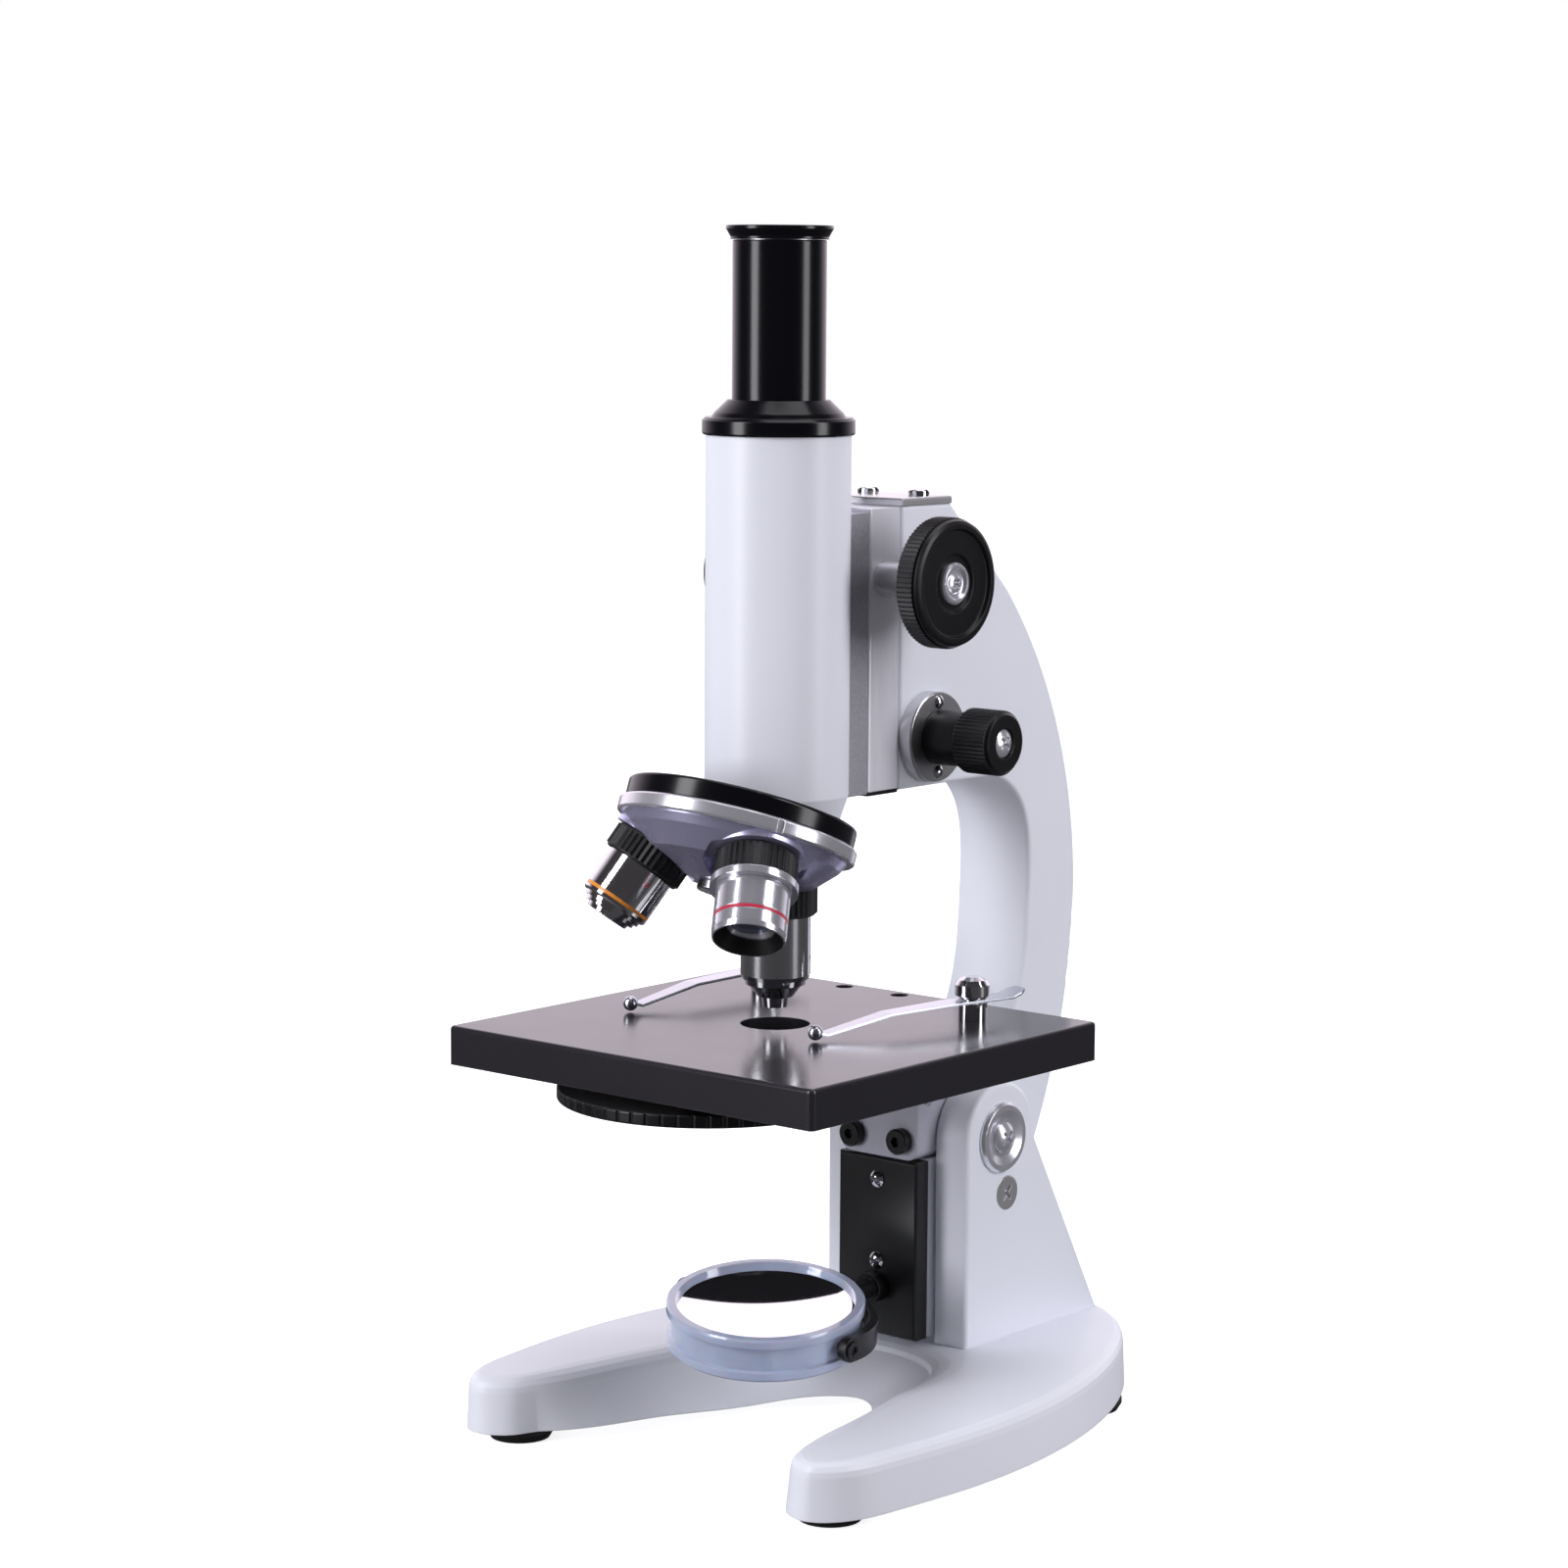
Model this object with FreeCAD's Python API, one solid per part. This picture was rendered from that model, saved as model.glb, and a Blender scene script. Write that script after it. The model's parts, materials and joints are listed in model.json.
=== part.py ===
"""Student microscope: horseshoe stand, inclining arm, racked body tube, three-objective nosepiece.

Working axes, in millimetres: the optical axis is X = Y = 0, +Y points to the arm, +Z is up
and Z = 0 is the table. Every shape is moved by SHIFT_Y when it is saved, which puts the
origin under the middle of the whole instrument.
"""
import FreeCAD, Part
import math
import os

# --- clearances, fits and allowances ---------------------------------------------------
FIT = 0.05                 # radial clearance of a running fit
SEAT = 0.01                # radial clearance of a fixed spigot or screw
GAP = 0.3                  # air between faces that move past each other
PAST = 1.0                 # how far a cutting tool runs past the face that it opens
NEAR = 0.01                # how near a plane an edge must lie to be picked by it
DOME_SHARE = 0.75          # domed share of a round screw head's height
CROSS_REACH = 0.55         # half length and width of a head's cross, as shares of its radius
CROSS_WIDTH = 0.24

# --- stand -----------------------------------------------------------------------------
FOOT_H = 3.5
FOOT_R = 9.5
FOOT_TAPER_H = 2.0         # height of the foot's tapered sole
FOOT_TAPER = 1.2
FOOT_SPIGOT_R = 3.0
FOOT_SPIGOT_H = 4.0
BASE_TOP = 19.0
BASE_HALF = 75.0
BASE_REAR = 128.0
LEG_FRONT = -58.0
LEG_TIP_X = BASE_HALF - 15.0
FRONT_FOOT = (BASE_HALF - 19.0, LEG_FRONT + 15.0)
REAR_FOOT = (BASE_HALF - 27.0, BASE_REAR - 44.0)
BASE_ROUND = 4.0
BASE_DRAFT = 0.6           # how much narrower the base is where its top rounding starts
ROUND_STEPS = 4            # loft sections over the top rounding
ARM_HALF = 13.0
CHEEK_IN = ARM_HALF + 1.5
CHEEK_T = 11.1
CHEEK_OUT = CHEEK_IN + CHEEK_T
CHEEK_R = 16.0
CHEEK_LEAN = 29.0          # where the round crown of a cheek ends, in degrees over the level
CHEEK_BACK = BASE_REAR - 7.4    # where the sloping rear edge of a cheek meets the base
CHEEK_SINK = 4.0           # how far over the feet a cheek's foot starts inside the base
CHEEK_ROUND = 1.5
PIVOT_Y = 70.4
PIVOT_Z = 78.2
PIN_R = 5.0
PIN_THREAD_R = 2.0
PIN_RECESS = 0.4           # how far each end of the pin lies inside its cheek
WASHER_R = 10.25
WASHER_T = 1.6
WASHER_FLOOR = 0.7
PIVOT_HEAD_R = 4.5
PIVOT_HEAD_H = 2.2
PIVOT_SCREW_L = 12.0
STOP_Y = PIVOT_Y + 3.0
STOP_Z = PIVOT_Z - 16.7
STOP_R = 2.5
STOP_HEAD_R = 5.0
STOP_HEAD_H = 2.2
STOP_L = 9.0               # whole length of a stop screw, flush with the cheek
CROSS_L = 2.6
CROSS_W = 1.0
CROSS_DEEP = 1.2

# --- body tube and eyepiece ------------------------------------------------------------
TUBE_R = 19.74
TUBE_BORE = 16.0
TUBE_TOP = 279.6
TUBE_TAPER_TOP = 182.0
TUBE_TAPER_R = 14.5
TUBE_TAPER_H = 16.0
COLLAR_R = TUBE_R + 1.02
COLLAR_H = 4.7
COLLAR_TOP = TUBE_TOP + COLLAR_H
COLLAR_CONE_R = 17.5
COLLAR_CONE_H = 4.7
COLLAR_SPIGOT = 12.0
DRAW_R = 12.7
DRAW_WALL = 1.05
DRAW_BOTTOM = TUBE_TOP - 43.6
COLLAR_NECK_R = DRAW_R + 1.8
EYE_TOP = 335.5
EYE_CAP_H = 3.7
EYE_SEAT = EYE_TOP - EYE_CAP_H    # underside of the eye cap, which carries the barrel
DRAW_TOP = EYE_SEAT - 0.2
EYE_RIM_R = DRAW_R + 1.8
EYE_LOW_R = DRAW_R + 0.6
EYE_HOLE_R = 6.5
EYE_BARREL = 30.0
EYE_WALL = 1.2
EYE_BARREL_R = DRAW_R - DRAW_WALL - FIT
LENS_RIM = 1.6             # how much wider the eye lens is than the hole over it
LENS_T = 3.6
FIELD_LENS_T = 1.6

# --- focusing --------------------------------------------------------------------------
SLIDE_T = 3.46             # slide behind the tube's wall
SLIDE_WRAP = 0.56          # how far the slide's cheeks reach past the tube's tangent line
SLIDE_BACK = TUBE_R + SLIDE_T
SLIDE_FRONT = math.sqrt(TUBE_R ** 2 - ARM_HALF ** 2) - SLIDE_WRAP
SLIDE_BOTTOM = 180.5
SLIDE_TOP = 258.0
BLOCK_T = 13.8
BLOCK_FRONT = SLIDE_BACK + GAP
BLOCK_BACK = BLOCK_FRONT + BLOCK_T
BLOCK_BOTTOM = SLIDE_BOTTOM + 0.5
BLOCK_TOP = SLIDE_TOP + 1.0
BLOCK_ROUND = 1.0
END_PLATE_T = 1.1
RAIL_NECK = 6.0            # half width of the dovetail at its neck
RAIL_FLARE = 1.6
PINION_Y = SLIDE_BACK + 6.8
PINION_Z = SLIDE_TOP - 18.3
PITCH_R = 4.0
TEETH = 10
ADDENDUM = 0.55
DEDENDUM = 0.85
TOOTH = 0.9                # tooth thickness at the pitch line
PRESSURE = 20.0            # slope of the tooth flanks, in degrees
GEAR_HALF = 5.0
SHAFT_R = 3.0
BUSH_R = 4.8
BUSH_IN = 8.0
KNOB_R = 17.9
KNOB_IN = ARM_HALF + 18.2
KNOB_T = 7.3
KNOB_OUT = KNOB_IN + KNOB_T
BUSH_OUT = KNOB_IN - GAP
KNOB_TEETH = 84
KNOB_SCREW_R = 5.75
KNOB_SCREW_THREAD_R = 1.5
KNOB_BEAD = 2.2            # thickness of the plain bead outside the ribs
KNOB_DISH = 1.0            # depth of the dished outer face
KNOB_WELL = 1.8            # depth of the seat for the knob's screw
KNOB_SCREW_L = 9.0
COARSE_UP = 40.0
COARSE_DOWN = 4.0

# --- arm and fine focus ----------------------------------------------------------------
HEAD_FRONT = BLOCK_BACK + GAP
HEAD_TOP = BLOCK_TOP + 0.3
HEAD_BOTTOM = SLIDE_BOTTOM - 0.2
TAIL_FRONT = 51.3
TAIL_BOTTOM = 21.0
TAIL_BACK = TAIL_FRONT + 14.7
LUG_R = 15.0               # round lug on each side of the arm at the inclination pivot
ARM_ROUND = 1.2
COVER_T = 2.2
COVER_BACK = HEAD_FRONT + 22.4
COVER_SCREW_X = ARM_HALF - 4.0
COVER_SCREW_Y = HEAD_FRONT + 12.4
COVER_HEAD_R = 3.0
SCREW_M3 = 1.5
SCREW_GRIP = 6.0           # length of an M3 screw in the part that it is screwed into
FINE_RAIL_NECK = 5.0
FINE_RAIL_DEPTH = 3.6
FINE_RAIL_Z = (SLIDE_BOTTOM + 6.5, SLIDE_BOTTOM + 47.5)
FINE_TRAVEL = 1.0
FINE_Y = HEAD_FRONT + 12.4
FINE_Z = HEAD_BOTTOM + 14.2
FINE_SHAFT_IN = 8.0        # how far the fine shaft reaches past the middle of the arm
FINE_FLANGE_R = 12.75
FINE_FLANGE_T = 4.0
FINE_NECK_R = 7.65
FINE_GRIP_R = 9.1
FINE_GRIP_IN = ARM_HALF + 15.6
FINE_OUT = ARM_HALF + 27.3
FINE_TEETH = 48
FINE_SCREW_R = 4.0
FINE_THREAD_R = 1.2
FINE_SCREW_L = 8.0
FINE_END = 2.5             # knob material outside the end of the fine shaft
FINE_WELL = 1.2
FLANGE_SCREW_DZ = 9.8      # the flange's two screws, above and below its middle
FLANGE_SCREW_R = 1.0
FLANGE_HEAD_R = 1.9
FLANGE_GRIP = 4.0

# --- stage and what hangs below it -----------------------------------------------------
STAGE_HALF = 64.65
STAGE_FRONT = -62.0
STAGE_BACK = 61.7
STAGE_TOP = 118.1
STAGE_H = 10.8
STAGE_LOW = STAGE_TOP - STAGE_H
STAGE_SKIN = 4.0
STAGE_WALL = 2.6
STAGE_SOLID = 44.0         # from here back the stage is solid, over its bracket
STAGE_CORNER = 1.5
STAGE_ROUND = 1.0
APERTURE_R = 9.65
APERTURE_RIM = 4.5
HOLE_R = 2.6
HOLE_SPACING = 20.3
HOLES_X = -11.2
HOLES_Y = STAGE_BACK - 5.3
BRACKET_HALF = ARM_HALF + 1.0
BRACKET_FRONT = TAIL_FRONT - 5.3
BRACKET_BOTTOM = PIVOT_Z - 5.2
BRACKET_CORNER = 4.0
BRACKET_SCREW_X = BRACKET_HALF - 5.5
BRACKET_SCREW_Z = BRACKET_BOTTOM + 5.7
BRACKET_SCREW_R = 3.75
BRACKET_SCREW_H = 3.0
BRACKET_SCREW_L = 8.0
SOCKET_R = 1.7
SOCKET_DEEP = 1.8
SIDE_SCREW_Y = 51.0
SIDE_SCREW_Z = STAGE_LOW - 16.6
SIDE_SCREW_R = 1.9
SIDE_SCREW_L = 6.0
PLATE_HALF = ARM_HALF + 1.1
PLATE_FRONT = TAIL_FRONT - 5.5
PLATE_TOP = BRACKET_BOTTOM - 0.2
PLATE_SCREWS_Z = (TAIL_BOTTOM + 21.6, TAIL_BOTTOM + 45.4)
PLATE_SCREW_R = 2.5
DISC_R = 40.5
DISC_Y = -28.5
DISC_T = 3.5
DISC_DROP = 1.8            # air between the stage's rim and the diaphragm disc
DISC_RIBS = 60
DISC_RIB_R = 0.7
DISC_SCREW_R = 2.5
DISC_HEAD_R = 6.0
DISC_BOSS_R = 6.5
DISC_HOLES = (1.5, 3.0, 5.0, 7.0, 9.0)
DISC_TOP = STAGE_LOW - DISC_DROP
DISC_LOW = DISC_TOP - DISC_T

# --- stage clips -----------------------------------------------------------------------
CLIP_X = 37.6
CLIP_Y = 40.0
CLIP_REACH = 54.0
CLIP_TAIL = 17.0
CLIP_W = 7.0
CLIP_T = 0.8
CLIP_RISE = 5.2            # underside of the strip above the stage, at the stud
CLIP_BALL_R = 2.1
CLIP_TURN = {"right": 13.8, "left": 3.7}
STUD_R = 2.5
STUD_COLLAR_R = 4.2
STUD_HEAD_R = 4.8
STUD_HEAD_H = 6.0

# --- nosepiece, all along its tilted axis from the point where that crosses the optical axis
APEX_Z = 216.0
TILT = 21.0
STATIONS = 3
DISC_TOP_S = 38.3
FIXED_R = 31.7
FIXED_T = 5.4
RIM_R = 33.0
RIM_T = 4.0
RIM_WALL = 3.5
CLICK_W = 1.8              # notches in the rim that the click spring drops into
CLICK_DEEP = 0.6
BOWL_R = 31.0
BOWL_DEPTH = 13.0
BOSS_R = 12.6
BOSS_L = 16.0
FACE_T = 58.0              # distance of the objectives' shoulders from the crossing point
THREAD_R = 10.16
THREAD_L = 4.5
AXLE_R = 4.0
AXLE_HEAD_R = 7.0
AXLE_HEAD_H = 2.4
LIGHT_R = 7.0
TURRET_TOP_S = DISC_TOP_S + FIXED_T + GAP
RIM_LOW = -TURRET_TOP_S - RIM_T
BOWL_LOW = RIM_LOW - BOWL_DEPTH
CORE_R = 9.0               # barrel of each objective under its grip
GRIP_TEETH = 40
GRIP_RIB = 0.5
GRIP_EDGE = 0.7
BAND_H = 1.0
BAND_DEEP = 0.5
FRONT_LENS_T = 1.0

# --- mirror ----------------------------------------------------------------------------
MIRROR_Y = -3.2
MIRROR_Z = 35.2
FORK_ROLL = 5.9            # turn of the fork about its stem, right side down
MIRROR_TILT = 7.6          # lean of the mirror to the front, about the fork's pins
MIRROR_R = 27.6
MIRROR_T = 12.3
MIRROR_WALL = 2.6
FLANGE_T = 3.0
GROOVE_D = 0.9
GLASS_DEEP = 1.8           # how far the glass lies below the ring's edge
GLASS_T = 3.0
GLASS_R = MIRROR_R - MIRROR_WALL - SEAT
CONCAVE_R = 108.0
MIRROR_PIN_R = 1.2
FORK_W = 7.0
FORK_T = 2.6
FORK_STEM_R = 3.0
FORK_HUB_R = 4.5
FORK_HUB_T = 4.0

DISC_FRONT = DISC_Y - DISC_R
SHIFT_Y = -(DISC_FRONT + BASE_REAR) / 2
X_AXIS = FreeCAD.Vector(1, 0, 0)
Y_AXIS = FreeCAD.Vector(0, 1, 0)
Z_AXIS = FreeCAD.Vector(0, 0, 1)


# --- helpers ---------------------------------------------------------------------------
def vec(x, y, z):
    return FreeCAD.Vector(x, y, z)


def save(name, shape):
    moved = shape.copy()
    moved.translate(vec(0, SHIFT_Y, 0))
    moved.exportStep("parts/" + name + ".step")
    print(name, len(moved.Solids), moved.isValid(), round(moved.Volume, 1))


def block(x0, x1, y0, y1, z0, z1):
    return Part.makeBox(x1 - x0, y1 - y0, z1 - z0, vec(x0, y0, z0))


def disc(r, z0, z1, x=0.0, y=0.0):
    return Part.makeCylinder(r, z1 - z0, vec(x, y, z0), Z_AXIS)


def rod_x(r, x0, x1, y, z):
    return Part.makeCylinder(r, x1 - x0, vec(x0, y, z), X_AXIS)


def rod_y(r, y0, y1, x, z):
    return Part.makeCylinder(r, y1 - y0, vec(x, y0, z), Y_AXIS)


def turned(points):
    """Solid turned about Z from (radius, height) points in order around the section."""
    corners = [vec(r, 0, z) for r, z in points]
    wire = Part.makePolygon(corners + corners[:1])
    return Part.Face(wire).revolve(vec(0, 0, 0), Z_AXIS, 360)


def side_plate(points, x0, x1):
    """Flat-sided solid between two X planes from (Y, Z) corner points."""
    corners = [vec(x0, y, z) for y, z in points]
    wire = Part.makePolygon(corners + corners[:1])
    return Part.Face(wire).extrude(vec(x1 - x0, 0, 0))


def knurled(r, depth, count, height):
    """Cylinder standing on Z = 0 with fine triangular ribs on its side."""
    corners = []
    for k in range(2 * count):
        radius = r if k % 2 == 0 else r - depth
        angle = math.pi * k / count
        corners.append(vec(radius * math.cos(angle), radius * math.sin(angle), 0))
    wire = Part.makePolygon(corners + corners[:1])
    return Part.Face(wire).extrude(vec(0, 0, height))


def placed(shape, placement):
    out = shape.copy()
    out.Placement = placement.multiply(shape.Placement)
    return out


def turn(axis, degrees, x=0.0, y=0.0, z=0.0):
    return FreeCAD.Placement(vec(x, y, z), FreeCAD.Rotation(axis, degrees))


def along_x(shape, x, y, z):
    """Turn a shape made on Z so that it points along +X from the given place."""
    return placed(shape, turn(Y_AXIS, 90, x, y, z))


def along_y(shape, x, y, z):
    """Turn a shape made on Z so that its +Z points to the front, along -Y."""
    return placed(shape, turn(X_AXIS, 90, x, y, z))


def mirrored(shape):
    return shape.mirror(vec(0, 0, 0), X_AXIS)


def both_sides(shape):
    return Part.makeCompound([shape, mirrored(shape)])


def on_nosepiece(shape):
    """Carry a shape made about Z, with the crossing point as its origin, to the tilted axis."""
    return placed(shape, turn(X_AXIS, -TILT, z=APEX_Z))


def on_objective(shape, station):
    """Carry a shape made about Z to one of the three objective axes (0 is the one in use)."""
    lean = turn(X_AXIS, TILT)
    spin = turn(Z_AXIS, 360.0 / STATIONS * station)
    return on_nosepiece(placed(shape, spin.multiply(lean)))


def edges_over(shape, z):
    """Edges that lie wholly at or over the height z."""
    return [e for e in shape.Edges if e.BoundBox.ZMin > z - NEAR]


def screw_z(shank_r, head_r, head_h, length, slot=0.8):
    """Cheese-head screw: head from Z = 0 up, shank down, straight slot across the head."""
    body = disc(head_r, 0, head_h).fuse(disc(shank_r, -length, 0.0))
    body = body.makeFillet(min(head_h, head_r) * 0.3, edges_over(body, head_h))
    groove = block(-head_r, head_r, -slot / 2, slot / 2, head_h * 0.55, head_h + PAST)
    return body.cut(groove).removeSplitter()


def cross_recess(reach, width, low, high):
    """Tool for the cross in a screw head: two bars, each turned halfway between X and Y."""
    bar = block(-reach, reach, -width / 2, width / 2, low, high)
    return placed(bar, turn(Z_AXIS, 45)).fuse(placed(bar, turn(Z_AXIS, -45)))


def round_screw_z(shank_r, head_r, head_h, length):
    """Round-head screw: domed head from Z = 0 up, shank down, cross recess in the head."""
    dome_h = DOME_SHARE * head_h
    dome_r = (head_r ** 2 + dome_h ** 2) / (2 * dome_h)
    head = disc(head_r, 0, head_h).common(Part.makeSphere(dome_r, vec(0, 0, head_h - dome_r)))
    body = head.fuse(disc(shank_r, -length, 0.0))
    cross = cross_recess(CROSS_REACH * head_r, CROSS_WIDTH * head_r, head_h / 2, head_h + PAST)
    return body.cut(cross).removeSplitter()


# --- stand -----------------------------------------------------------------------------
def smooth_curve(points, z):
    """Curve through right-half points and their mirror images, from one leg to the other."""
    curve = Part.BSplineCurve()
    both = points + [(-x, y) for x, y in points[-2::-1]]
    curve.interpolate([vec(x, y, z) for x, y in both])
    return curve.toShape()


def base_outline(z, inset, inner):
    """Closed horseshoe wire: rounded leg ends, outer curve and the inner arch."""
    half = BASE_HALF - inset
    tip = LEG_FRONT + inset
    rear = BASE_REAR - inset
    heel_x, heel_y = inner[0]
    outer = [(heel_x + 1.5, heel_y - 4.0), (heel_x + 5.5, tip + 2.2), (LEG_TIP_X, tip),
             (LEG_TIP_X + 7.5 - 0.6 * inset, tip + 6.0), (half - 3.0, LEG_FRONT + 22.0),
             (half, LEG_FRONT + 50.0), (half - 4.0, BASE_REAR - 83.0), (half - 20.0, BASE_REAR - 38.0),
             (half - 45.0 + inset, rear - 8.0), (0.0, rear)]
    outside = smooth_curve(outer, z)
    arch = smooth_curve(inner, z)
    ends = [Part.makeLine(vec(side * heel_x, heel_y, z), vec(side * outer[0][0], outer[0][1], z))
            for side in (1, -1)]
    return Part.Wire([outside, ends[1], arch, ends[0]])


def between(first, second, share):
    return [(a + (c - a) * share, b + (d - b) * share) for (a, b), (c, d) in zip(first, second)]


def base_plate():
    """Horseshoe with sloping inner walls and a rounded top edge, as a loft of level outlines."""
    heel = LEG_FRONT + 12.0
    low = [(46.5, heel), (37.0, -31.0), (30.0, -12.0), (19.0, 10.0), (9.0, 33.0), (0.0, 38.0)]
    mid = [(47.5, heel), (43.0, -31.0), (40.0, -12.0), (34.0, 12.0), (24.0, 40.0), (0.0, 49.0)]
    top = [(51.0, heel + 2.5), (49.5, -31.0), (46.0, -12.0), (41.0, 14.0), (33.0, 44.0), (0.0, 54.0)]
    sections = [base_outline(FOOT_H, 0.0, low)]
    for k in range(ROUND_STEPS + 1):
        angle = math.radians(90.0 * k / ROUND_STEPS)
        share = 1.0 - math.cos(angle)
        z = BASE_TOP - BASE_ROUND * (1.0 - math.sin(angle))
        inset = BASE_DRAFT + (BASE_ROUND - BASE_DRAFT) * share
        sections.append(base_outline(z, inset, between(mid, top, share)))
    return Part.makeLoft(sections, True, True)


def cheek_profile():
    """Side outline of one cheek, as a face in the plane X = 0."""
    front = PIVOT_Y - CHEEK_R
    front_low = vec(0, front + 0.4, FOOT_H + CHEEK_SINK)
    front_high = vec(0, front, PIVOT_Z)
    crown = vec(0, PIVOT_Y, PIVOT_Z + CHEEK_R)
    lean = math.radians(CHEEK_LEAN)
    shoulder = vec(0, PIVOT_Y + CHEEK_R * math.cos(lean), PIVOT_Z + CHEEK_R * math.sin(lean))
    back_high = vec(0, PIVOT_Y + CHEEK_R + 1.0, PIVOT_Z - 3.0)
    back_low = vec(0, CHEEK_BACK, BASE_TOP - 2.5)
    back_end = vec(0, CHEEK_BACK, FOOT_H + CHEEK_SINK)
    arc = Part.Arc(front_high, crown, shoulder).toShape()
    lines = [(shoulder, back_high), (back_high, back_low), (back_low, back_end),
             (back_end, front_low), (front_low, front_high)]
    edges = [arc] + [Part.makeLine(a, b) for a, b in lines]
    return Part.Face(Part.Wire(edges))


def base_casting():
    face = cheek_profile()
    face.translate(vec(CHEEK_IN, 0, 0))
    cheek = face.extrude(vec(CHEEK_T, 0, 0))
    outer = [e for e in cheek.Edges if e.BoundBox.XMin > CHEEK_OUT - NEAR]
    rims = [e for e in outer if e.BoundBox.ZMax > BASE_TOP]
    cheek = cheek.makeFillet(CHEEK_ROUND, rims)
    body = base_plate().fuse([cheek, mirrored(cheek)])
    body = body.cut(rod_x(PIN_R + SEAT, -BASE_HALF, BASE_HALF, PIVOT_Y, PIVOT_Z))
    hole = disc(STOP_R, 0, STOP_L)
    sink = Part.makeCone(STOP_R, STOP_HEAD_R, STOP_HEAD_H, vec(0, 0, STOP_L - STOP_HEAD_H), Z_AXIS)
    cutter = along_x(hole.fuse(sink), CHEEK_OUT - STOP_L, STOP_Y, STOP_Z)
    body = body.cut(cutter).cut(mirrored(cutter))
    for x, y in feet_places():
        body = body.cut(disc(FOOT_SPIGOT_R + SEAT, FOOT_H - PAST, FOOT_H + FOOT_SPIGOT_H + SEAT, x, y))
    return body.removeSplitter()


def feet_places():
    places = []
    for x, y in (FRONT_FOOT, REAR_FOOT):
        places += [(x, y), (-x, y)]
    return places


def rubber_feet():
    feet = []
    for x, y in feet_places():
        foot = Part.makeCone(FOOT_R - FOOT_TAPER, FOOT_R, FOOT_TAPER_H, vec(x, y, 0), Z_AXIS)
        foot = foot.fuse(disc(FOOT_R, FOOT_TAPER_H, FOOT_H, x, y))
        foot = foot.fuse(disc(FOOT_SPIGOT_R, FOOT_H, FOOT_H + FOOT_SPIGOT_H, x, y))
        feet.append(foot.removeSplitter())
    return Part.makeCompound(feet)


def pivot_pin():
    reach = CHEEK_OUT - PIN_RECESS
    pin = rod_x(PIN_R, -reach, reach, PIVOT_Y, PIVOT_Z)
    return pin.cut(rod_x(PIN_THREAD_R + SEAT, -CHEEK_OUT, CHEEK_OUT, PIVOT_Y, PIVOT_Z))


def pivot_washers():
    hole = PIN_THREAD_R + SEAT
    dish = turned([(hole, 0), (WASHER_R, 0), (WASHER_R, WASHER_FLOOR), (WASHER_R - 0.8, WASHER_T),
                   (WASHER_R - 2.2, WASHER_T), (PIVOT_HEAD_R + 1.2, WASHER_FLOOR), (hole, WASHER_FLOOR)])
    return both_sides(along_x(dish, CHEEK_OUT, PIVOT_Y, PIVOT_Z))


def pivot_screws():
    screw = round_screw_z(PIN_THREAD_R, PIVOT_HEAD_R, PIVOT_HEAD_H, PIVOT_SCREW_L)
    return both_sides(along_x(screw, CHEEK_OUT + WASHER_FLOOR, PIVOT_Y, PIVOT_Z))


def stop_screws():
    """Countersunk cross-slotted screws, flush with the cheeks, that stop the arm's tail."""
    low = STOP_L - STOP_HEAD_H
    shank = disc(STOP_R - SEAT, GAP, low)
    head = Part.makeCone(STOP_R - SEAT, STOP_HEAD_R - SEAT, STOP_HEAD_H, vec(0, 0, low), Z_AXIS)
    body = shank.fuse(head)
    body = body.cut(cross_recess(CROSS_L, CROSS_W, STOP_L - CROSS_DEEP, STOP_L + PAST))
    return both_sides(along_x(body, CHEEK_OUT - STOP_L, STOP_Y, STOP_Z))


# --- arm -------------------------------------------------------------------------------
def arm_profile():
    """C-shaped side outline of the arm with its head and tail, as a face in the plane X = 0."""
    def p(y, z):
        return vec(0, y, z)
    head = [p(HEAD_FRONT, HEAD_BOTTOM), p(HEAD_FRONT, HEAD_TOP), p(COVER_BACK, HEAD_TOP), p(87.0, 233.9)]
    back_bend = p(110.2, 198.0)
    back_mid = p(121.9, 145.0)
    back_low = p(117.9, 110.0)
    heel = p(104.2, 70.8)
    tail = [p(96.0, 58.0), p(TAIL_BACK + 6, 46.0), p(TAIL_BACK, TAIL_BOTTOM), p(TAIL_FRONT, TAIL_BOTTOM),
            p(TAIL_FRONT, BRACKET_BOTTOM), p(BRACKET_FRONT + 12, BRACKET_BOTTOM + 14),
            p(STAGE_BACK + 1.0, STAGE_LOW - 4.0)]
    throat_ys = [(80.0, 103.4), (90.5, 107.0), (95.5, 117.0), (98.8, 142.0), (96.4, 168.4),
                 (82.0, HEAD_BOTTOM)]
    throat = Part.BSplineCurve()
    throat.interpolate([p(y, z) for y, z in throat_ys])
    edges = [Part.makeLine(a, b) for a, b in zip(head, head[1:])]
    edges.append(Part.Arc(head[-1], back_bend, back_mid).toShape())
    edges.append(Part.Arc(back_mid, back_low, heel).toShape())
    edges += [Part.makeLine(a, b) for a, b in zip([heel] + tail, tail)]
    edges.append(Part.makeLine(tail[-1], p(*throat_ys[0])))
    edges.append(throat.toShape())
    edges.append(Part.makeLine(p(*throat_ys[-1]), head[0]))
    return Part.Face(Part.Wire(edges))


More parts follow.
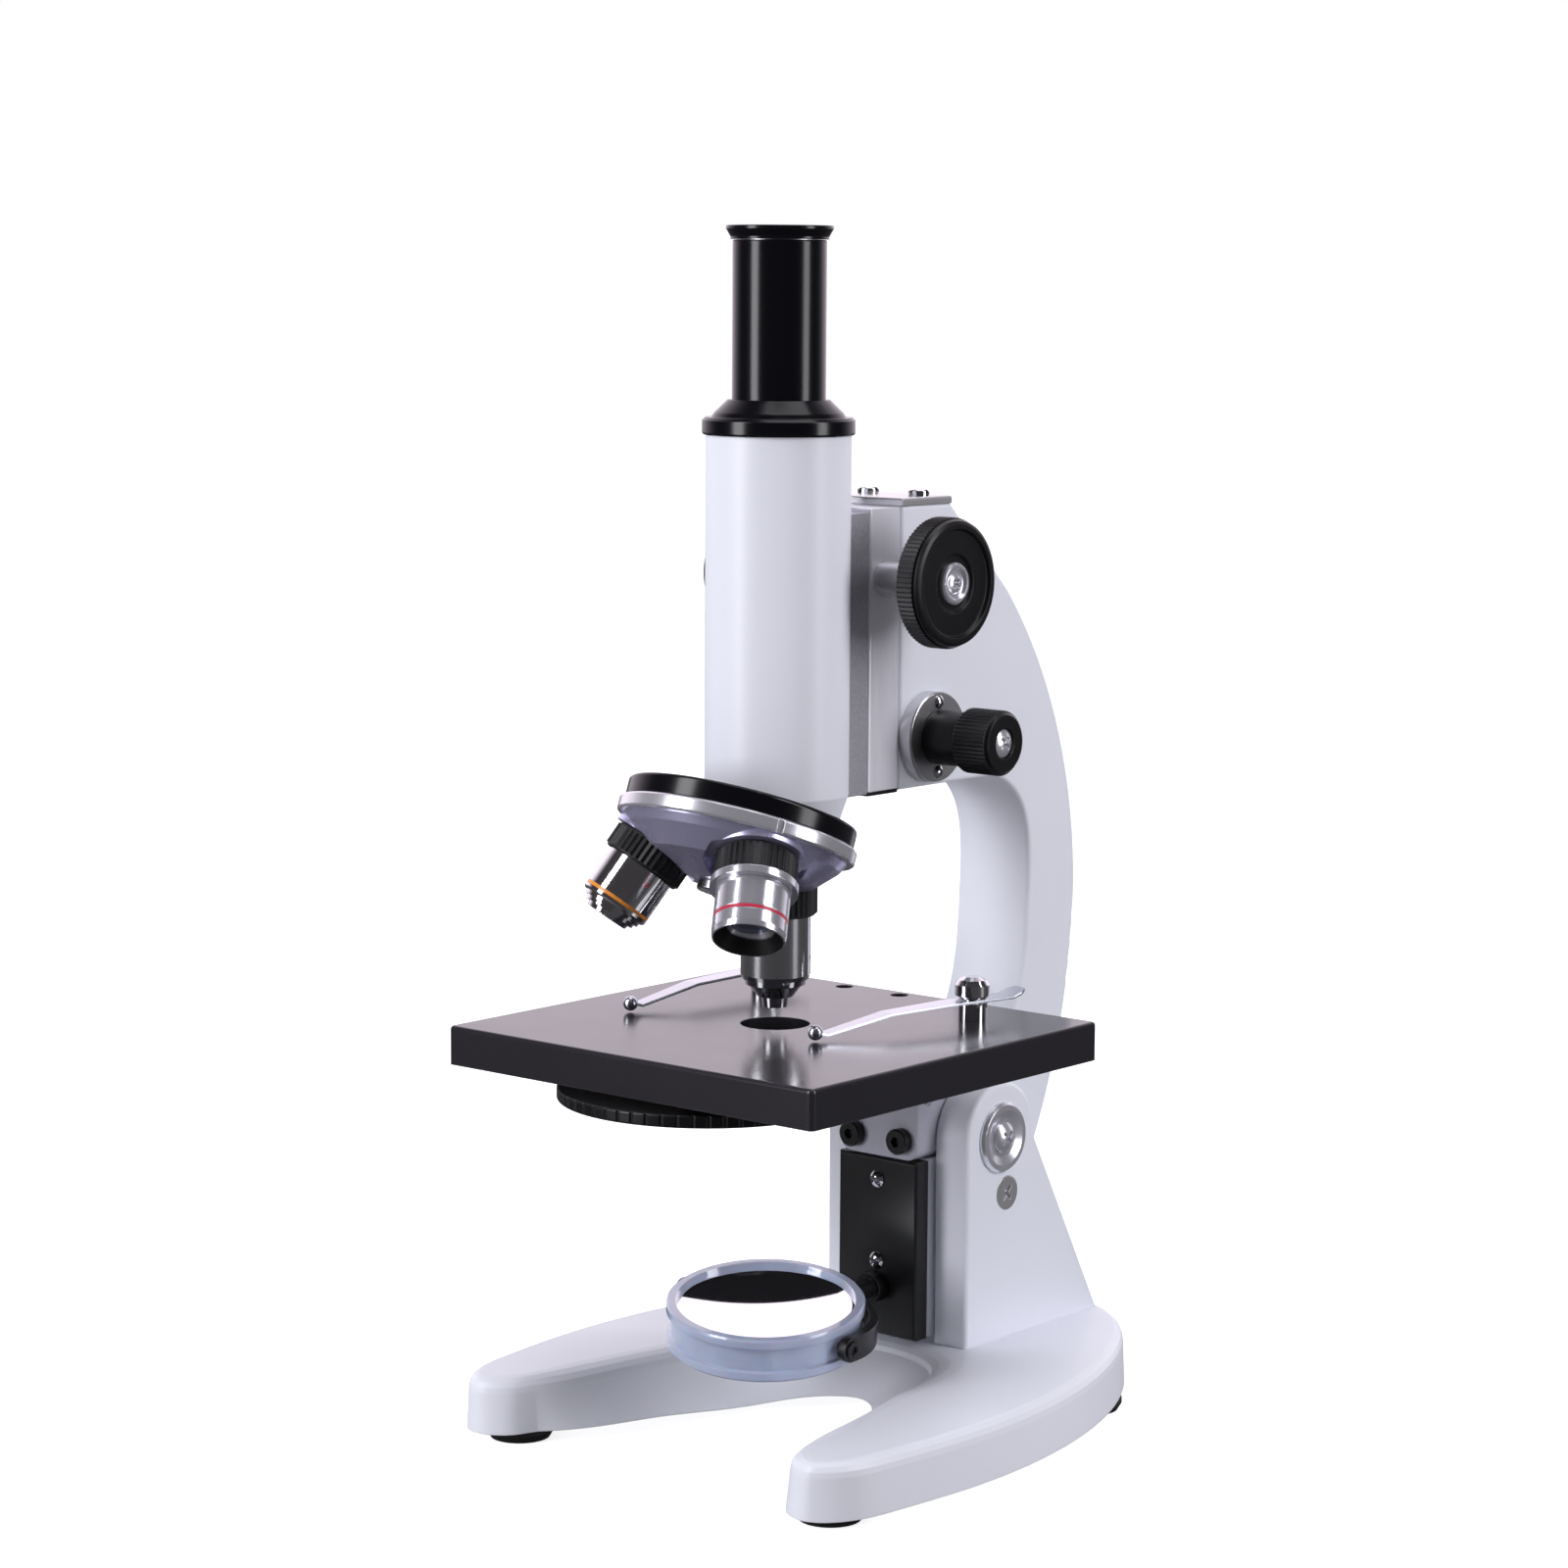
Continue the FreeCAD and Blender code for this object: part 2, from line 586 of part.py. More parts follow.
def arm_casting():
    face = arm_profile()
    face.translate(vec(-ARM_HALF, 0, 0))
    body = face.extrude(vec(2 * ARM_HALF, 0, 0))
    over_stage = edges_over(body, STAGE_LOW - 2 * ARM_ROUND - STAGE_SKIN)
    rims = [e for e in over_stage if e.BoundBox.XLength < NEAR and e.Length > ARM_HALF]
    body = body.makeFillet(ARM_ROUND, rims)
    side_lug = CHEEK_IN - GAP
    body = body.fuse(rod_x(LUG_R, -side_lug, side_lug, PIVOT_Y, PIVOT_Z))
    body = body.cut(rod_x(PIN_R + FIT, -BASE_HALF, BASE_HALF, PIVOT_Y, PIVOT_Z))
    body = body.cut(stage_bracket_block(SEAT))
    for z in PLATE_SCREWS_Z:
        body = body.cut(rod_y(SCREW_M3 + SEAT, PLATE_FRONT, TAIL_FRONT + SCREW_GRIP + SEAT, 0.0, z))
    body = body.cut(rod_x(SHAFT_R + FIT, -FINE_SHAFT_IN - PAST, ARM_HALF + PAST, FINE_Y, FINE_Z))
    for z in flange_screws_z():
        hole = rod_x(FLANGE_SCREW_R + SEAT, ARM_HALF - FLANGE_GRIP - SEAT, ARM_HALF + PAST, FINE_Y, z)
        body = body.cut(hole)
    for x, y in cover_screw_places():
        body = body.cut(disc(SCREW_M3 + SEAT, HEAD_TOP - SCREW_GRIP - SEAT, HEAD_TOP + PAST, x, y))
    return body.removeSplitter()


def flange_screws_z():
    return (FINE_Z - FLANGE_SCREW_DZ, FINE_Z + FLANGE_SCREW_DZ)


def cover_screw_places():
    return [(-COVER_SCREW_X, COVER_SCREW_Y), (COVER_SCREW_X, COVER_SCREW_Y)]


def head_cover():
    top = HEAD_TOP + COVER_T
    plate = block(-ARM_HALF, ARM_HALF, HEAD_FRONT, COVER_BACK, HEAD_TOP, top)
    plate = plate.makeFillet(0.8, edges_over(plate, top))
    for x, y in cover_screw_places():
        plate = plate.cut(disc(SCREW_M3 + SEAT, HEAD_TOP - PAST, top + PAST, x, y))
    return plate


def cover_screws():
    screws = []
    for x, y in cover_screw_places():
        screw = screw_z(SCREW_M3, COVER_HEAD_R, 1.8, COVER_T + SCREW_GRIP)
        screw.translate(vec(x, y, HEAD_TOP + COVER_T))
        screws.append(screw)
    return Part.makeCompound(screws)


def dovetail(neck, depth, flare, y_neck, z0, z1, grow, back=True):
    """Dovetail bar along Z: narrow at its neck plane, wider where it is deepest in the groove."""
    way = 1 if back else -1
    corners = [(-neck - grow, y_neck), (neck + grow, y_neck),
               (neck + flare + grow, y_neck + way * (depth + grow)),
               (-neck - flare - grow, y_neck + way * (depth + grow))]
    points = [vec(x, y, z0) for x, y in corners]
    wire = Part.makePolygon(points + points[:1])
    return Part.Face(wire).extrude(vec(0, 0, z1 - z0))


def fine_rail():
    return dovetail(FINE_RAIL_NECK, FINE_RAIL_DEPTH, RAIL_FLARE, HEAD_FRONT, *FINE_RAIL_Z, 0.0, back=False)


def fine_flange():
    outer = ARM_HALF + FINE_FLANGE_T
    flange = rod_x(FINE_FLANGE_R, ARM_HALF, outer, FINE_Y, FINE_Z)
    rims = [e for e in flange.Edges if e.BoundBox.XMin > outer - NEAR]
    flange = flange.makeFillet(0.6, rims)
    flange = flange.cut(rod_x(SHAFT_R + FIT, ARM_HALF - PAST, outer + PAST, FINE_Y, FINE_Z))
    for z in flange_screws_z():
        flange = flange.cut(rod_x(FLANGE_SCREW_R + SEAT, ARM_HALF - PAST, outer + PAST, FINE_Y, z))
    return flange


def fine_flange_screws():
    screws = []
    for z in flange_screws_z():
        screw = round_screw_z(FLANGE_SCREW_R, FLANGE_HEAD_R, 1.1, FINE_FLANGE_T + FLANGE_GRIP)
        screws.append(along_x(screw, ARM_HALF + FINE_FLANGE_T, FINE_Y, z))
    return Part.makeCompound(screws)


# --- stage, bracket and mirror plate ---------------------------------------------------
def stage_bracket_block(grow):
    """Outline block of the bracket; grown, it is the pocket that the arm leaves for it."""
    half = BRACKET_HALF + grow
    return block(-half, half, BRACKET_FRONT, STAGE_BACK - 1.0 + grow, BRACKET_BOTTOM - grow, STAGE_LOW)


def stage_bracket():
    body = stage_bracket_block(0.0)
    low = [e for e in body.Edges if e.BoundBox.ZMax < BRACKET_BOTTOM + NEAR]
    corners = [e for e in low if e.BoundBox.XLength < NEAR]
    body = body.makeFillet(BRACKET_CORNER, corners)
    front = [e for e in body.Edges if e.BoundBox.YMax < BRACKET_FRONT + NEAR]
    body = body.makeFillet(0.8, front)
    deep = BRACKET_FRONT + BRACKET_SCREW_L + SEAT
    for x in (BRACKET_SCREW_X, -BRACKET_SCREW_X):
        body = body.cut(rod_y(SCREW_M3 + SEAT, BRACKET_FRONT - PAST, deep, x, BRACKET_SCREW_Z))
    side_hole = rod_x(SCREW_M3 + SEAT, BRACKET_HALF - SIDE_SCREW_L - SEAT, BRACKET_HALF + PAST,
                      SIDE_SCREW_Y, SIDE_SCREW_Z)
    lug = rod_x(LUG_R + GAP, -BASE_HALF, BASE_HALF, PIVOT_Y, PIVOT_Z)
    return body.cut(side_hole).cut(mirrored(side_hole)).cut(lug).removeSplitter()


def bracket_screws():
    """Socket-head screws in the front of the bracket."""
    screws = []
    for x in (BRACKET_SCREW_X, -BRACKET_SCREW_X):
        body = disc(BRACKET_SCREW_R, 0, BRACKET_SCREW_H).fuse(disc(SCREW_M3, -BRACKET_SCREW_L, 0))
        body = body.makeChamfer(0.5, edges_over(body, BRACKET_SCREW_H))
        socket = knurled(SOCKET_R, SOCKET_R * (1 - math.cos(math.pi / 6)), 6, SOCKET_DEEP + PAST)
        socket.translate(vec(0, 0, BRACKET_SCREW_H - SOCKET_DEEP))
        screws.append(along_y(body.cut(socket), x, BRACKET_FRONT, BRACKET_SCREW_Z))
    return Part.makeCompound(screws)


def bracket_side_screws():
    screw = round_screw_z(SCREW_M3, SIDE_SCREW_R, 0.9, SIDE_SCREW_L)
    return both_sides(along_x(screw, BRACKET_HALF, SIDE_SCREW_Y, SIDE_SCREW_Z))


def mirror_plate():
    plate = block(-PLATE_HALF, PLATE_HALF, PLATE_FRONT, TAIL_FRONT, TAIL_BOTTOM, PLATE_TOP)
    front = [e for e in plate.Edges if e.BoundBox.YMax < PLATE_FRONT + NEAR]
    plate = plate.makeFillet(0.8, front)
    for z in PLATE_SCREWS_Z:
        plate = plate.cut(rod_y(SCREW_M3 + SEAT, PLATE_FRONT - PAST, TAIL_FRONT + PAST, 0.0, z))
    return plate.cut(rod_y(FORK_STEM_R + FIT, PLATE_FRONT - PAST, TAIL_FRONT + PAST, 0.0, MIRROR_Z))


def plate_screws():
    screws = []
    for z in PLATE_SCREWS_Z:
        screw = round_screw_z(SCREW_M3, PLATE_SCREW_R, 1.6, TAIL_FRONT - PLATE_FRONT + SCREW_GRIP)
        screws.append(along_y(screw, 0.0, PLATE_FRONT, z))
    return Part.makeCompound(screws)


def stage_plate():
    """Stage: a plate with a hollow underside, solid at the back, with bosses and holes."""
    low = STAGE_LOW - PAST
    high = STAGE_TOP + PAST
    boss_top = STAGE_TOP - STAGE_SKIN / 2
    body = block(-STAGE_HALF, STAGE_HALF, STAGE_FRONT, STAGE_BACK, STAGE_LOW, STAGE_TOP)
    upright = [e for e in body.Edges if e.BoundBox.ZLength > STAGE_H - NEAR]
    body = body.makeFillet(STAGE_CORNER, upright)
    body = body.makeFillet(STAGE_ROUND, edges_over(body, STAGE_TOP))
    inner = STAGE_HALF - STAGE_WALL
    body = body.cut(block(-inner, inner, STAGE_FRONT + STAGE_WALL, STAGE_SOLID, low, STAGE_TOP - STAGE_SKIN))
    body = body.fuse(disc(APERTURE_R + APERTURE_RIM, STAGE_LOW, boss_top))
    body = body.fuse(disc(DISC_BOSS_R, DISC_TOP + GAP, boss_top, 0, DISC_Y))
    body = body.cut(disc(APERTURE_R, low, high))
    body = body.cut(disc(DISC_SCREW_R + SEAT, low - DISC_DROP, STAGE_TOP - STAGE_SKIN + SEAT, 0, DISC_Y))
    for side in (1, -1):
        body = body.cut(disc(HOLE_R, low, high, HOLES_X + side * HOLE_SPACING / 2, HOLES_Y))
        body = body.cut(disc(STUD_R + SEAT, low, high, side * CLIP_X, CLIP_Y))
    return body.removeSplitter()


def diaphragm_disc():
    """Ribbed disc with a ring of light holes, each as far from its screw as the stage's aperture."""
    low = DISC_LOW - PAST
    high = DISC_TOP + PAST
    body = disc(DISC_R, DISC_LOW, DISC_TOP, 0, DISC_Y)
    rims = [e for e in body.Edges if e.BoundBox.ZLength < NEAR]
    body = body.makeFillet(0.6, rims)
    for k in range(DISC_RIBS):
        notch = disc(DISC_RIB_R, low, high, DISC_R + DISC_RIB_R / 2)
        notch.rotate(vec(0, 0, 0), Z_AXIS, 360.0 * k / DISC_RIBS)
        notch.translate(vec(0, DISC_Y, 0))
        body = body.cut(notch)
    body = body.cut(disc(DISC_SCREW_R + FIT, low, high, 0, DISC_Y))
    for k, r in enumerate(DISC_HOLES):
        hole = disc(r, low, high, 0, -DISC_Y)
        hole.rotate(vec(0, 0, 0), Z_AXIS, 360.0 / len(DISC_HOLES) * (k + 1))
        hole.translate(vec(0, DISC_Y, 0))
        body = body.cut(hole)
    return body.removeSplitter()


def diaphragm_screw():
    seat = DISC_LOW - GAP
    screw = screw_z(DISC_SCREW_R, DISC_HEAD_R, 2.0, STAGE_TOP - STAGE_SKIN - seat)
    screw.rotate(vec(0, 0, 0), X_AXIS, 180)
    screw.translate(vec(0, DISC_Y, seat))
    return screw


# --- clips -----------------------------------------------------------------------------
def clip_studs():
    rise = STAGE_TOP + CLIP_RISE
    body = disc(STUD_R, STAGE_LOW, rise + CLIP_T + GAP)
    body = body.fuse(disc(STUD_COLLAR_R, STAGE_TOP, rise - GAP / 2))
    head = turned([(0, 0), (STUD_HEAD_R - 0.8, 0), (STUD_HEAD_R, 0.8), (STUD_HEAD_R, STUD_HEAD_H - 2.2),
                   (STUD_HEAD_R - 1.0, STUD_HEAD_H - 0.8), (STUD_HEAD_R - 2.6, STUD_HEAD_H), (0, STUD_HEAD_H)])
    head.translate(vec(0, 0, rise + CLIP_T + GAP))
    body = body.fuse(head).removeSplitter()
    body.translate(vec(CLIP_X, CLIP_Y, 0))
    return both_sides(body)


def clip(swing):
    """Spring strip that points to the front from its stud, turned about it, with a ball end."""
    ball_z = STAGE_TOP + GAP + CLIP_BALL_R
    high = STAGE_TOP + CLIP_RISE
    run = [(-CLIP_TAIL, high + 1.6), (-CLIP_TAIL + 5.0, high), (STUD_HEAD_R + 4.0, high),
           (CLIP_REACH * 0.55, ball_z + 2.2), (CLIP_REACH - 3.0, ball_z - 1.2), (CLIP_REACH, ball_z - 0.4)]
    top = [(u, z + CLIP_T) for u, z in run]
    corners = [vec(-CLIP_W / 2, -u, z) for u, z in run + top[::-1]]
    wire = Part.makePolygon(corners + corners[:1])
    strip = Part.Face(wire).extrude(vec(CLIP_W, 0, 0))
    waist = CLIP_BALL_R - 0.2
    half = CLIP_W / 2
    neck = -STUD_HEAD_R - 3
    plan = [(-half, CLIP_TAIL - 2), (2 - half, CLIP_TAIL + 1), (half - 2, CLIP_TAIL + 1),
            (half, CLIP_TAIL - 2), (half, neck), (waist, -CLIP_REACH - 1), (-waist, -CLIP_REACH - 1),
            (-half, neck)]
    outline = Part.makePolygon([vec(x, y, STAGE_TOP) for x, y in plan + plan[:1]])
    strip = strip.common(Part.Face(outline).extrude(vec(0, 0, 2 * CLIP_RISE)))
    strip = strip.cut(disc(STUD_R + FIT, STAGE_TOP, high + CLIP_RISE))
    ball = Part.makeSphere(CLIP_BALL_R, vec(0, -CLIP_REACH, ball_z))
    body = strip.fuse(ball).removeSplitter()
    body.rotate(vec(0, 0, 0), Z_AXIS, swing)
    body.translate(vec(CLIP_X, CLIP_Y, 0))
    return body


# --- focusing --------------------------------------------------------------------------
def rack_z():
    """Lowest and highest tooth of the rack, so that it covers the whole coarse travel."""
    return (PINION_Z - COARSE_UP - PITCH_R, PINION_Z + COARSE_DOWN + PITCH_R)


def rack_back():
    return PINION_Y - PITCH_R + ADDENDUM


def rack_teeth_cutter():
    """Spaces between rack teeth; one space is centred on the pinion's height at rest."""
    pitch = 2 * math.pi * PITCH_R / TEETH
    deep = rack_back() - ADDENDUM - DEDENDUM
    lean = math.tan(math.radians(PRESSURE))
    half_pitch_line = (pitch - TOOTH) / 2
    half_top = half_pitch_line + (ADDENDUM + PAST) * lean
    half_deep = half_pitch_line - DEDENDUM * lean
    low, high = rack_z()
    spaces = []
    first = math.ceil((low - PINION_Z) / pitch)
    last = math.floor((high - PINION_Z) / pitch)
    for k in range(first, last + 1):
        z = PINION_Z + k * pitch
        corners = [(deep, z - half_deep), (deep, z + half_deep),
                   (rack_back() + PAST, z + half_top), (rack_back() + PAST, z - half_top)]
        spaces.append(side_plate(corners, -GEAR_HALF - PAST, GEAR_HALF + PAST))
    return Part.makeCompound(spaces)


def tube_slide():
    plate = block(-ARM_HALF, ARM_HALF, SLIDE_FRONT, SLIDE_BACK, SLIDE_BOTTOM, SLIDE_TOP)
    plate = plate.cut(disc(TUBE_R + SEAT, SLIDE_BOTTOM - PAST, SLIDE_TOP + PAST))
    depth = rack_back() - SLIDE_BACK
    rail = dovetail(RAIL_NECK, depth, RAIL_FLARE, SLIDE_BACK, SLIDE_BOTTOM, SLIDE_TOP, 0.0)
    return plate.fuse(rail).cut(rack_teeth_cutter()).removeSplitter()


def pinion_shaft():
    """Pinion on its shaft, which reaches the wells of both knobs."""
    reach = KNOB_OUT - KNOB_WELL - PAST
    shaft = rod_x(SHAFT_R, -reach, reach, PINION_Y, PINION_Z)
    pitch_angle = 2 * math.pi / TEETH
    root = PITCH_R - DEDENDUM
    tip = PITCH_R + ADDENDUM
    half_pitch_line = TOOTH / 2 / PITCH_R
    lean = math.tan(math.radians(PRESSURE))
    half_root = half_pitch_line + DEDENDUM * lean / PITCH_R
    half_tip = half_pitch_line - ADDENDUM * lean / PITCH_R
    corners = []
    for k in range(TEETH):
        middle = math.pi + k * pitch_angle
        for radius, half in ((root, -half_root), (tip, -half_tip), (tip, half_tip), (root, half_root)):
            angle = middle + half
            corners.append(vec(0, radius * math.cos(angle), radius * math.sin(angle)))
    wire = Part.makePolygon(corners + corners[:1])
    gear = Part.Face(wire).extrude(vec(2 * GEAR_HALF, 0, 0))
    gear.translate(vec(-GEAR_HALF, PINION_Y, PINION_Z))
    body = shaft.fuse(gear).removeSplitter()
    return body.cut(rod_x(KNOB_SCREW_THREAD_R + SEAT, -KNOB_OUT, KNOB_OUT, PINION_Y, PINION_Z))


def focus_block():
    """Block that runs on the arm's fine rail and guides the tube's slide, with the pinion in it."""
    body = block(-ARM_HALF, ARM_HALF, BLOCK_FRONT, BLOCK_BACK, BLOCK_BOTTOM, BLOCK_TOP)
    upright = [e for e in body.Edges if e.BoundBox.ZLength > BLOCK_TOP - BLOCK_BOTTOM - NEAR]
    body = body.makeFillet(BLOCK_ROUND, upright)
    depth = rack_back() - SLIDE_BACK
    low = BLOCK_BOTTOM - PAST
    high = BLOCK_TOP + PAST
    body = body.cut(dovetail(RAIL_NECK, depth, RAIL_FLARE, SLIDE_BACK, low, high, 2 * FIT))
    body = body.cut(rod_x(PITCH_R + ADDENDUM + GAP, -BUSH_IN, BUSH_IN, PINION_Y, PINION_Z))
    bush_hole = rod_x(BUSH_R + SEAT, BUSH_IN, ARM_HALF + PAST, PINION_Y, PINION_Z)
    body = body.cut(bush_hole).cut(mirrored(bush_hole))
    low = FINE_RAIL_Z[0] - FINE_TRAVEL - GAP
    high = FINE_RAIL_Z[1] + FINE_TRAVEL + GAP
    groove = dovetail(FINE_RAIL_NECK, FINE_RAIL_DEPTH, RAIL_FLARE, HEAD_FRONT, low, high, 2 * FIT,
                      back=False)
    return body.cut(groove).removeSplitter()


def block_end_plate():
    """Thin plate under the focus block that closes its guide, as wide and deep as the block."""
    low = BLOCK_BOTTOM - END_PLATE_T
    plate = block(-ARM_HALF, ARM_HALF, BLOCK_FRONT, BLOCK_BACK, low, BLOCK_BOTTOM)
    upright = [e for e in plate.Edges if e.BoundBox.ZLength > END_PLATE_T - NEAR]
    plate = plate.makeFillet(BLOCK_ROUND, upright)
    depth = rack_back() - SLIDE_BACK
    groove = dovetail(RAIL_NECK, depth, RAIL_FLARE, SLIDE_BACK, low - PAST, BLOCK_BOTTOM + PAST, 2 * FIT)
    return plate.cut(groove).removeSplitter()


def pinion_bushes():
    bush = rod_x(BUSH_R, BUSH_IN, BUSH_OUT, PINION_Y, PINION_Z)
    return both_sides(bush.cut(rod_x(SHAFT_R + FIT, 0, KNOB_OUT, PINION_Y, PINION_Z)))


def coarse_knob():
    """Right-hand knob: ribbed rim, raised bead and a dished outer face."""
    rim = KNOB_T - KNOB_BEAD
    face = KNOB_T - KNOB_DISH
    well = KNOB_T - KNOB_WELL
    grip = knurled(KNOB_R, 0.35, KNOB_TEETH, rim)
    bead = turned([(0, rim), (KNOB_R - 0.9, rim), (KNOB_R - 0.5, rim + 0.8), (KNOB_R - 0.9, KNOB_T - 0.4),
                   (KNOB_R - 1.8, KNOB_T), (KNOB_R - 3.0, KNOB_T), (KNOB_R - 3.6, face),
                   (KNOB_SCREW_R + 2.5, face), (KNOB_SCREW_R + 1.6, well), (0, well)])
    inner = turned([(0, -0.1), (KNOB_R - 3.0, -0.1), (KNOB_R - 3.6, 1.2), (BUSH_R + 3, 1.2),
                    (BUSH_R + 2, 0), (0, 0)])
    body = grip.fuse(bead).cut(inner)
    body = body.cut(disc(SHAFT_R + SEAT, -PAST, KNOB_T + PAST))
    return along_x(body.removeSplitter(), KNOB_IN, PINION_Y, PINION_Z)


def coarse_knob_screws():
    """Screws with a raised ring, a dish and a cross in the middle, which hold the coarse knobs."""
    r = KNOB_SCREW_R
    button = r / 2
    shank = KNOB_SCREW_THREAD_R
    screw = turned([(0, -KNOB_SCREW_L), (shank, -KNOB_SCREW_L), (shank, 0), (r, 0), (r, 1.0), (r - 0.6, 1.6),
                    (r - 1.3, 1.6), (r - 1.9, 0.6), (button, 0.6), (button - 0.3, 1.1), (button - 1.2, 1.4),
                    (0, 1.5)])
    screw = screw.cut(cross_recess(CROSS_REACH * button, CROSS_WIDTH * button, 0.7, KNOB_DISH + PAST))
    return both_sides(along_x(screw, KNOB_OUT - KNOB_WELL, PINION_Y, PINION_Z))


def fine_shaft():
    shaft = rod_x(SHAFT_R, -FINE_SHAFT_IN, FINE_OUT - FINE_END, FINE_Y, FINE_Z)
    return shaft.cut(rod_x(FINE_THREAD_R + SEAT, FINE_OUT - 12.0, FINE_OUT, FINE_Y, FINE_Z))


def fine_knob():
    start = ARM_HALF + FINE_FLANGE_T + GAP
    neck = disc(FINE_NECK_R, 0, FINE_GRIP_IN - start)
    grip = knurled(FINE_GRIP_R, 0.3, FINE_TEETH, FINE_OUT - FINE_GRIP_IN - 1.0)
    grip.translate(vec(0, 0, FINE_GRIP_IN - start))
    end_z = FINE_OUT - start
    end = turned([(0, end_z - 1.0), (FINE_GRIP_R - 0.4, end_z - 1.0), (FINE_GRIP_R - 1.2, end_z), (0, end_z)])
    body = neck.fuse([grip, end])
    body = body.cut(disc(SHAFT_R + SEAT, -PAST, end_z - FINE_END + SEAT))
    body = body.cut(disc(FINE_SCREW_R + GAP, end_z - FINE_WELL, end_z + PAST))
    body = body.cut(disc(FINE_THREAD_R + SEAT, 0, end_z + PAST))
    return along_x(body.removeSplitter(), start, FINE_Y, FINE_Z)


def fine_knob_screw():
    screw = round_screw_z(FINE_THREAD_R, FINE_SCREW_R, 1.6, FINE_SCREW_L)
    return along_x(screw, FINE_OUT - FINE_WELL, FINE_Y, FINE_Z)


# --- body tube and eyepiece ------------------------------------------------------------
def above_nosepiece():
    """Everything above the top face of the fixed nosepiece disc."""
    size = EYE_TOP
    return on_nosepiece(block(-size, size, -size, size, -DISC_TOP_S, size))


def body_tube():
    straight = disc(TUBE_R, TUBE_TAPER_TOP, TUBE_TOP)
    taper_low = vec(0, 0, TUBE_TAPER_TOP - TUBE_TAPER_H)
    taper = Part.makeCone(TUBE_TAPER_R, TUBE_R, TUBE_TAPER_H, taper_low, Z_AXIS)
    body = straight.fuse(taper).common(above_nosepiece())
    wall = TUBE_R - TUBE_BORE
    bore = disc(TUBE_BORE, TUBE_TAPER_TOP + wall, TUBE_TOP + PAST).fuse(disc(LIGHT_R + wall, 0, TUBE_TOP))
    return body.cut(bore).removeSplitter()


def tube_collar():
    low = TUBE_TOP - COLLAR_SPIGOT
    cone_top = COLLAR_TOP + COLLAR_CONE_H
    return turned([(DRAW_R + SEAT, low), (TUBE_BORE - SEAT, low), (TUBE_BORE - SEAT, TUBE_TOP),
                   (COLLAR_R - 0.4, TUBE_TOP), (COLLAR_R, TUBE_TOP + 0.5), (COLLAR_R, COLLAR_TOP - 0.8),
                   (COLLAR_R - 0.8, COLLAR_TOP), (COLLAR_CONE_R + 0.8, COLLAR_TOP),
                   (COLLAR_CONE_R, COLLAR_TOP + 1.2), (COLLAR_NECK_R, cone_top - 0.6),
                   (COLLAR_NECK_R - 0.6, cone_top), (DRAW_R + SEAT, cone_top)])


def draw_tube():
    return turned([(DRAW_R - DRAW_WALL, DRAW_BOTTOM), (DRAW_R, DRAW_BOTTOM), (DRAW_R, DRAW_TOP - 0.3),
                   (DRAW_R - 0.3, DRAW_TOP), (DRAW_R - DRAW_WALL, DRAW_TOP)])


def eye_cap():
    low = EYE_SEAT
    return turned([(EYE_HOLE_R, low), (EYE_LOW_R, low), (EYE_LOW_R, low + 0.7),
                   (EYE_RIM_R - 0.2, EYE_TOP - 1.2), (EYE_RIM_R, EYE_TOP - 1.0), (EYE_RIM_R, EYE_TOP - 0.2),
                   (EYE_RIM_R - 0.3, EYE_TOP), (EYE_BARREL_R, EYE_TOP), (EYE_HOLE_R + 2.5, EYE_TOP - 0.9),
                   (EYE_HOLE_R, EYE_TOP - 1.6)])


def eyepiece_barrel():
    low = EYE_SEAT - EYE_BARREL
    shelf = EYE_SEAT - LENS_T - 0.4
    inner = EYE_BARREL_R - EYE_WALL
    seat_r = EYE_HOLE_R + LENS_RIM
    return turned([(inner, low), (EYE_BARREL_R, low), (EYE_BARREL_R, EYE_SEAT), (seat_r, EYE_SEAT),
                   (seat_r, shelf), (inner, shelf)])


def eye_lens():
    r = EYE_HOLE_R + LENS_RIM - SEAT
    low = EYE_SEAT - LENS_T
    return turned([(0, low), (r, low), (r, EYE_SEAT), (EYE_HOLE_R - 0.2, EYE_SEAT), (0, EYE_SEAT + 0.9)])


def field_lens():
    low = EYE_SEAT - EYE_BARREL + 1.0
    r = EYE_BARREL_R - EYE_WALL - SEAT
    return turned([(0, low), (r, low), (r, low + FIELD_LENS_T), (0, low + 2 * FIELD_LENS_T)])


# --- nosepiece -------------------------------------------------------------------------
def nosepiece_base():
    """Round plate on the slanting foot of the tube, bored for the axle and for the light."""
    low = -DISC_TOP_S - FIXED_T
    body = disc(FIXED_R, low, -DISC_TOP_S)
    body = body.makeFillet(1.0, edges_over(body, -DISC_TOP_S))
    body = on_nosepiece(body.cut(disc(AXLE_R + SEAT, low - PAST, -DISC_TOP_S + PAST)))
    return body.cut(disc(LIGHT_R, 0, APEX_Z)).removeSplitter()


def turret_rim():
    """Turned ring round the bowl, with a click notch over each objective."""
    high = -TURRET_TOP_S
    low = RIM_LOW
    inner = RIM_R - RIM_WALL
    body = turned([(inner, low), (RIM_R - 0.5, low), (RIM_R, low + 0.5), (RIM_R, high - 0.5),
                   (RIM_R - 0.5, high), (inner, high)])
    for station in range(STATIONS):
        notch = block(-CLICK_W / 2, CLICK_W / 2, RIM_R - CLICK_DEEP, RIM_R + PAST, low - PAST, high + PAST)
        body = body.cut(placed(notch, turn(Z_AXIS, 360.0 / STATIONS * station)))
    return on_nosepiece(body.removeSplitter())


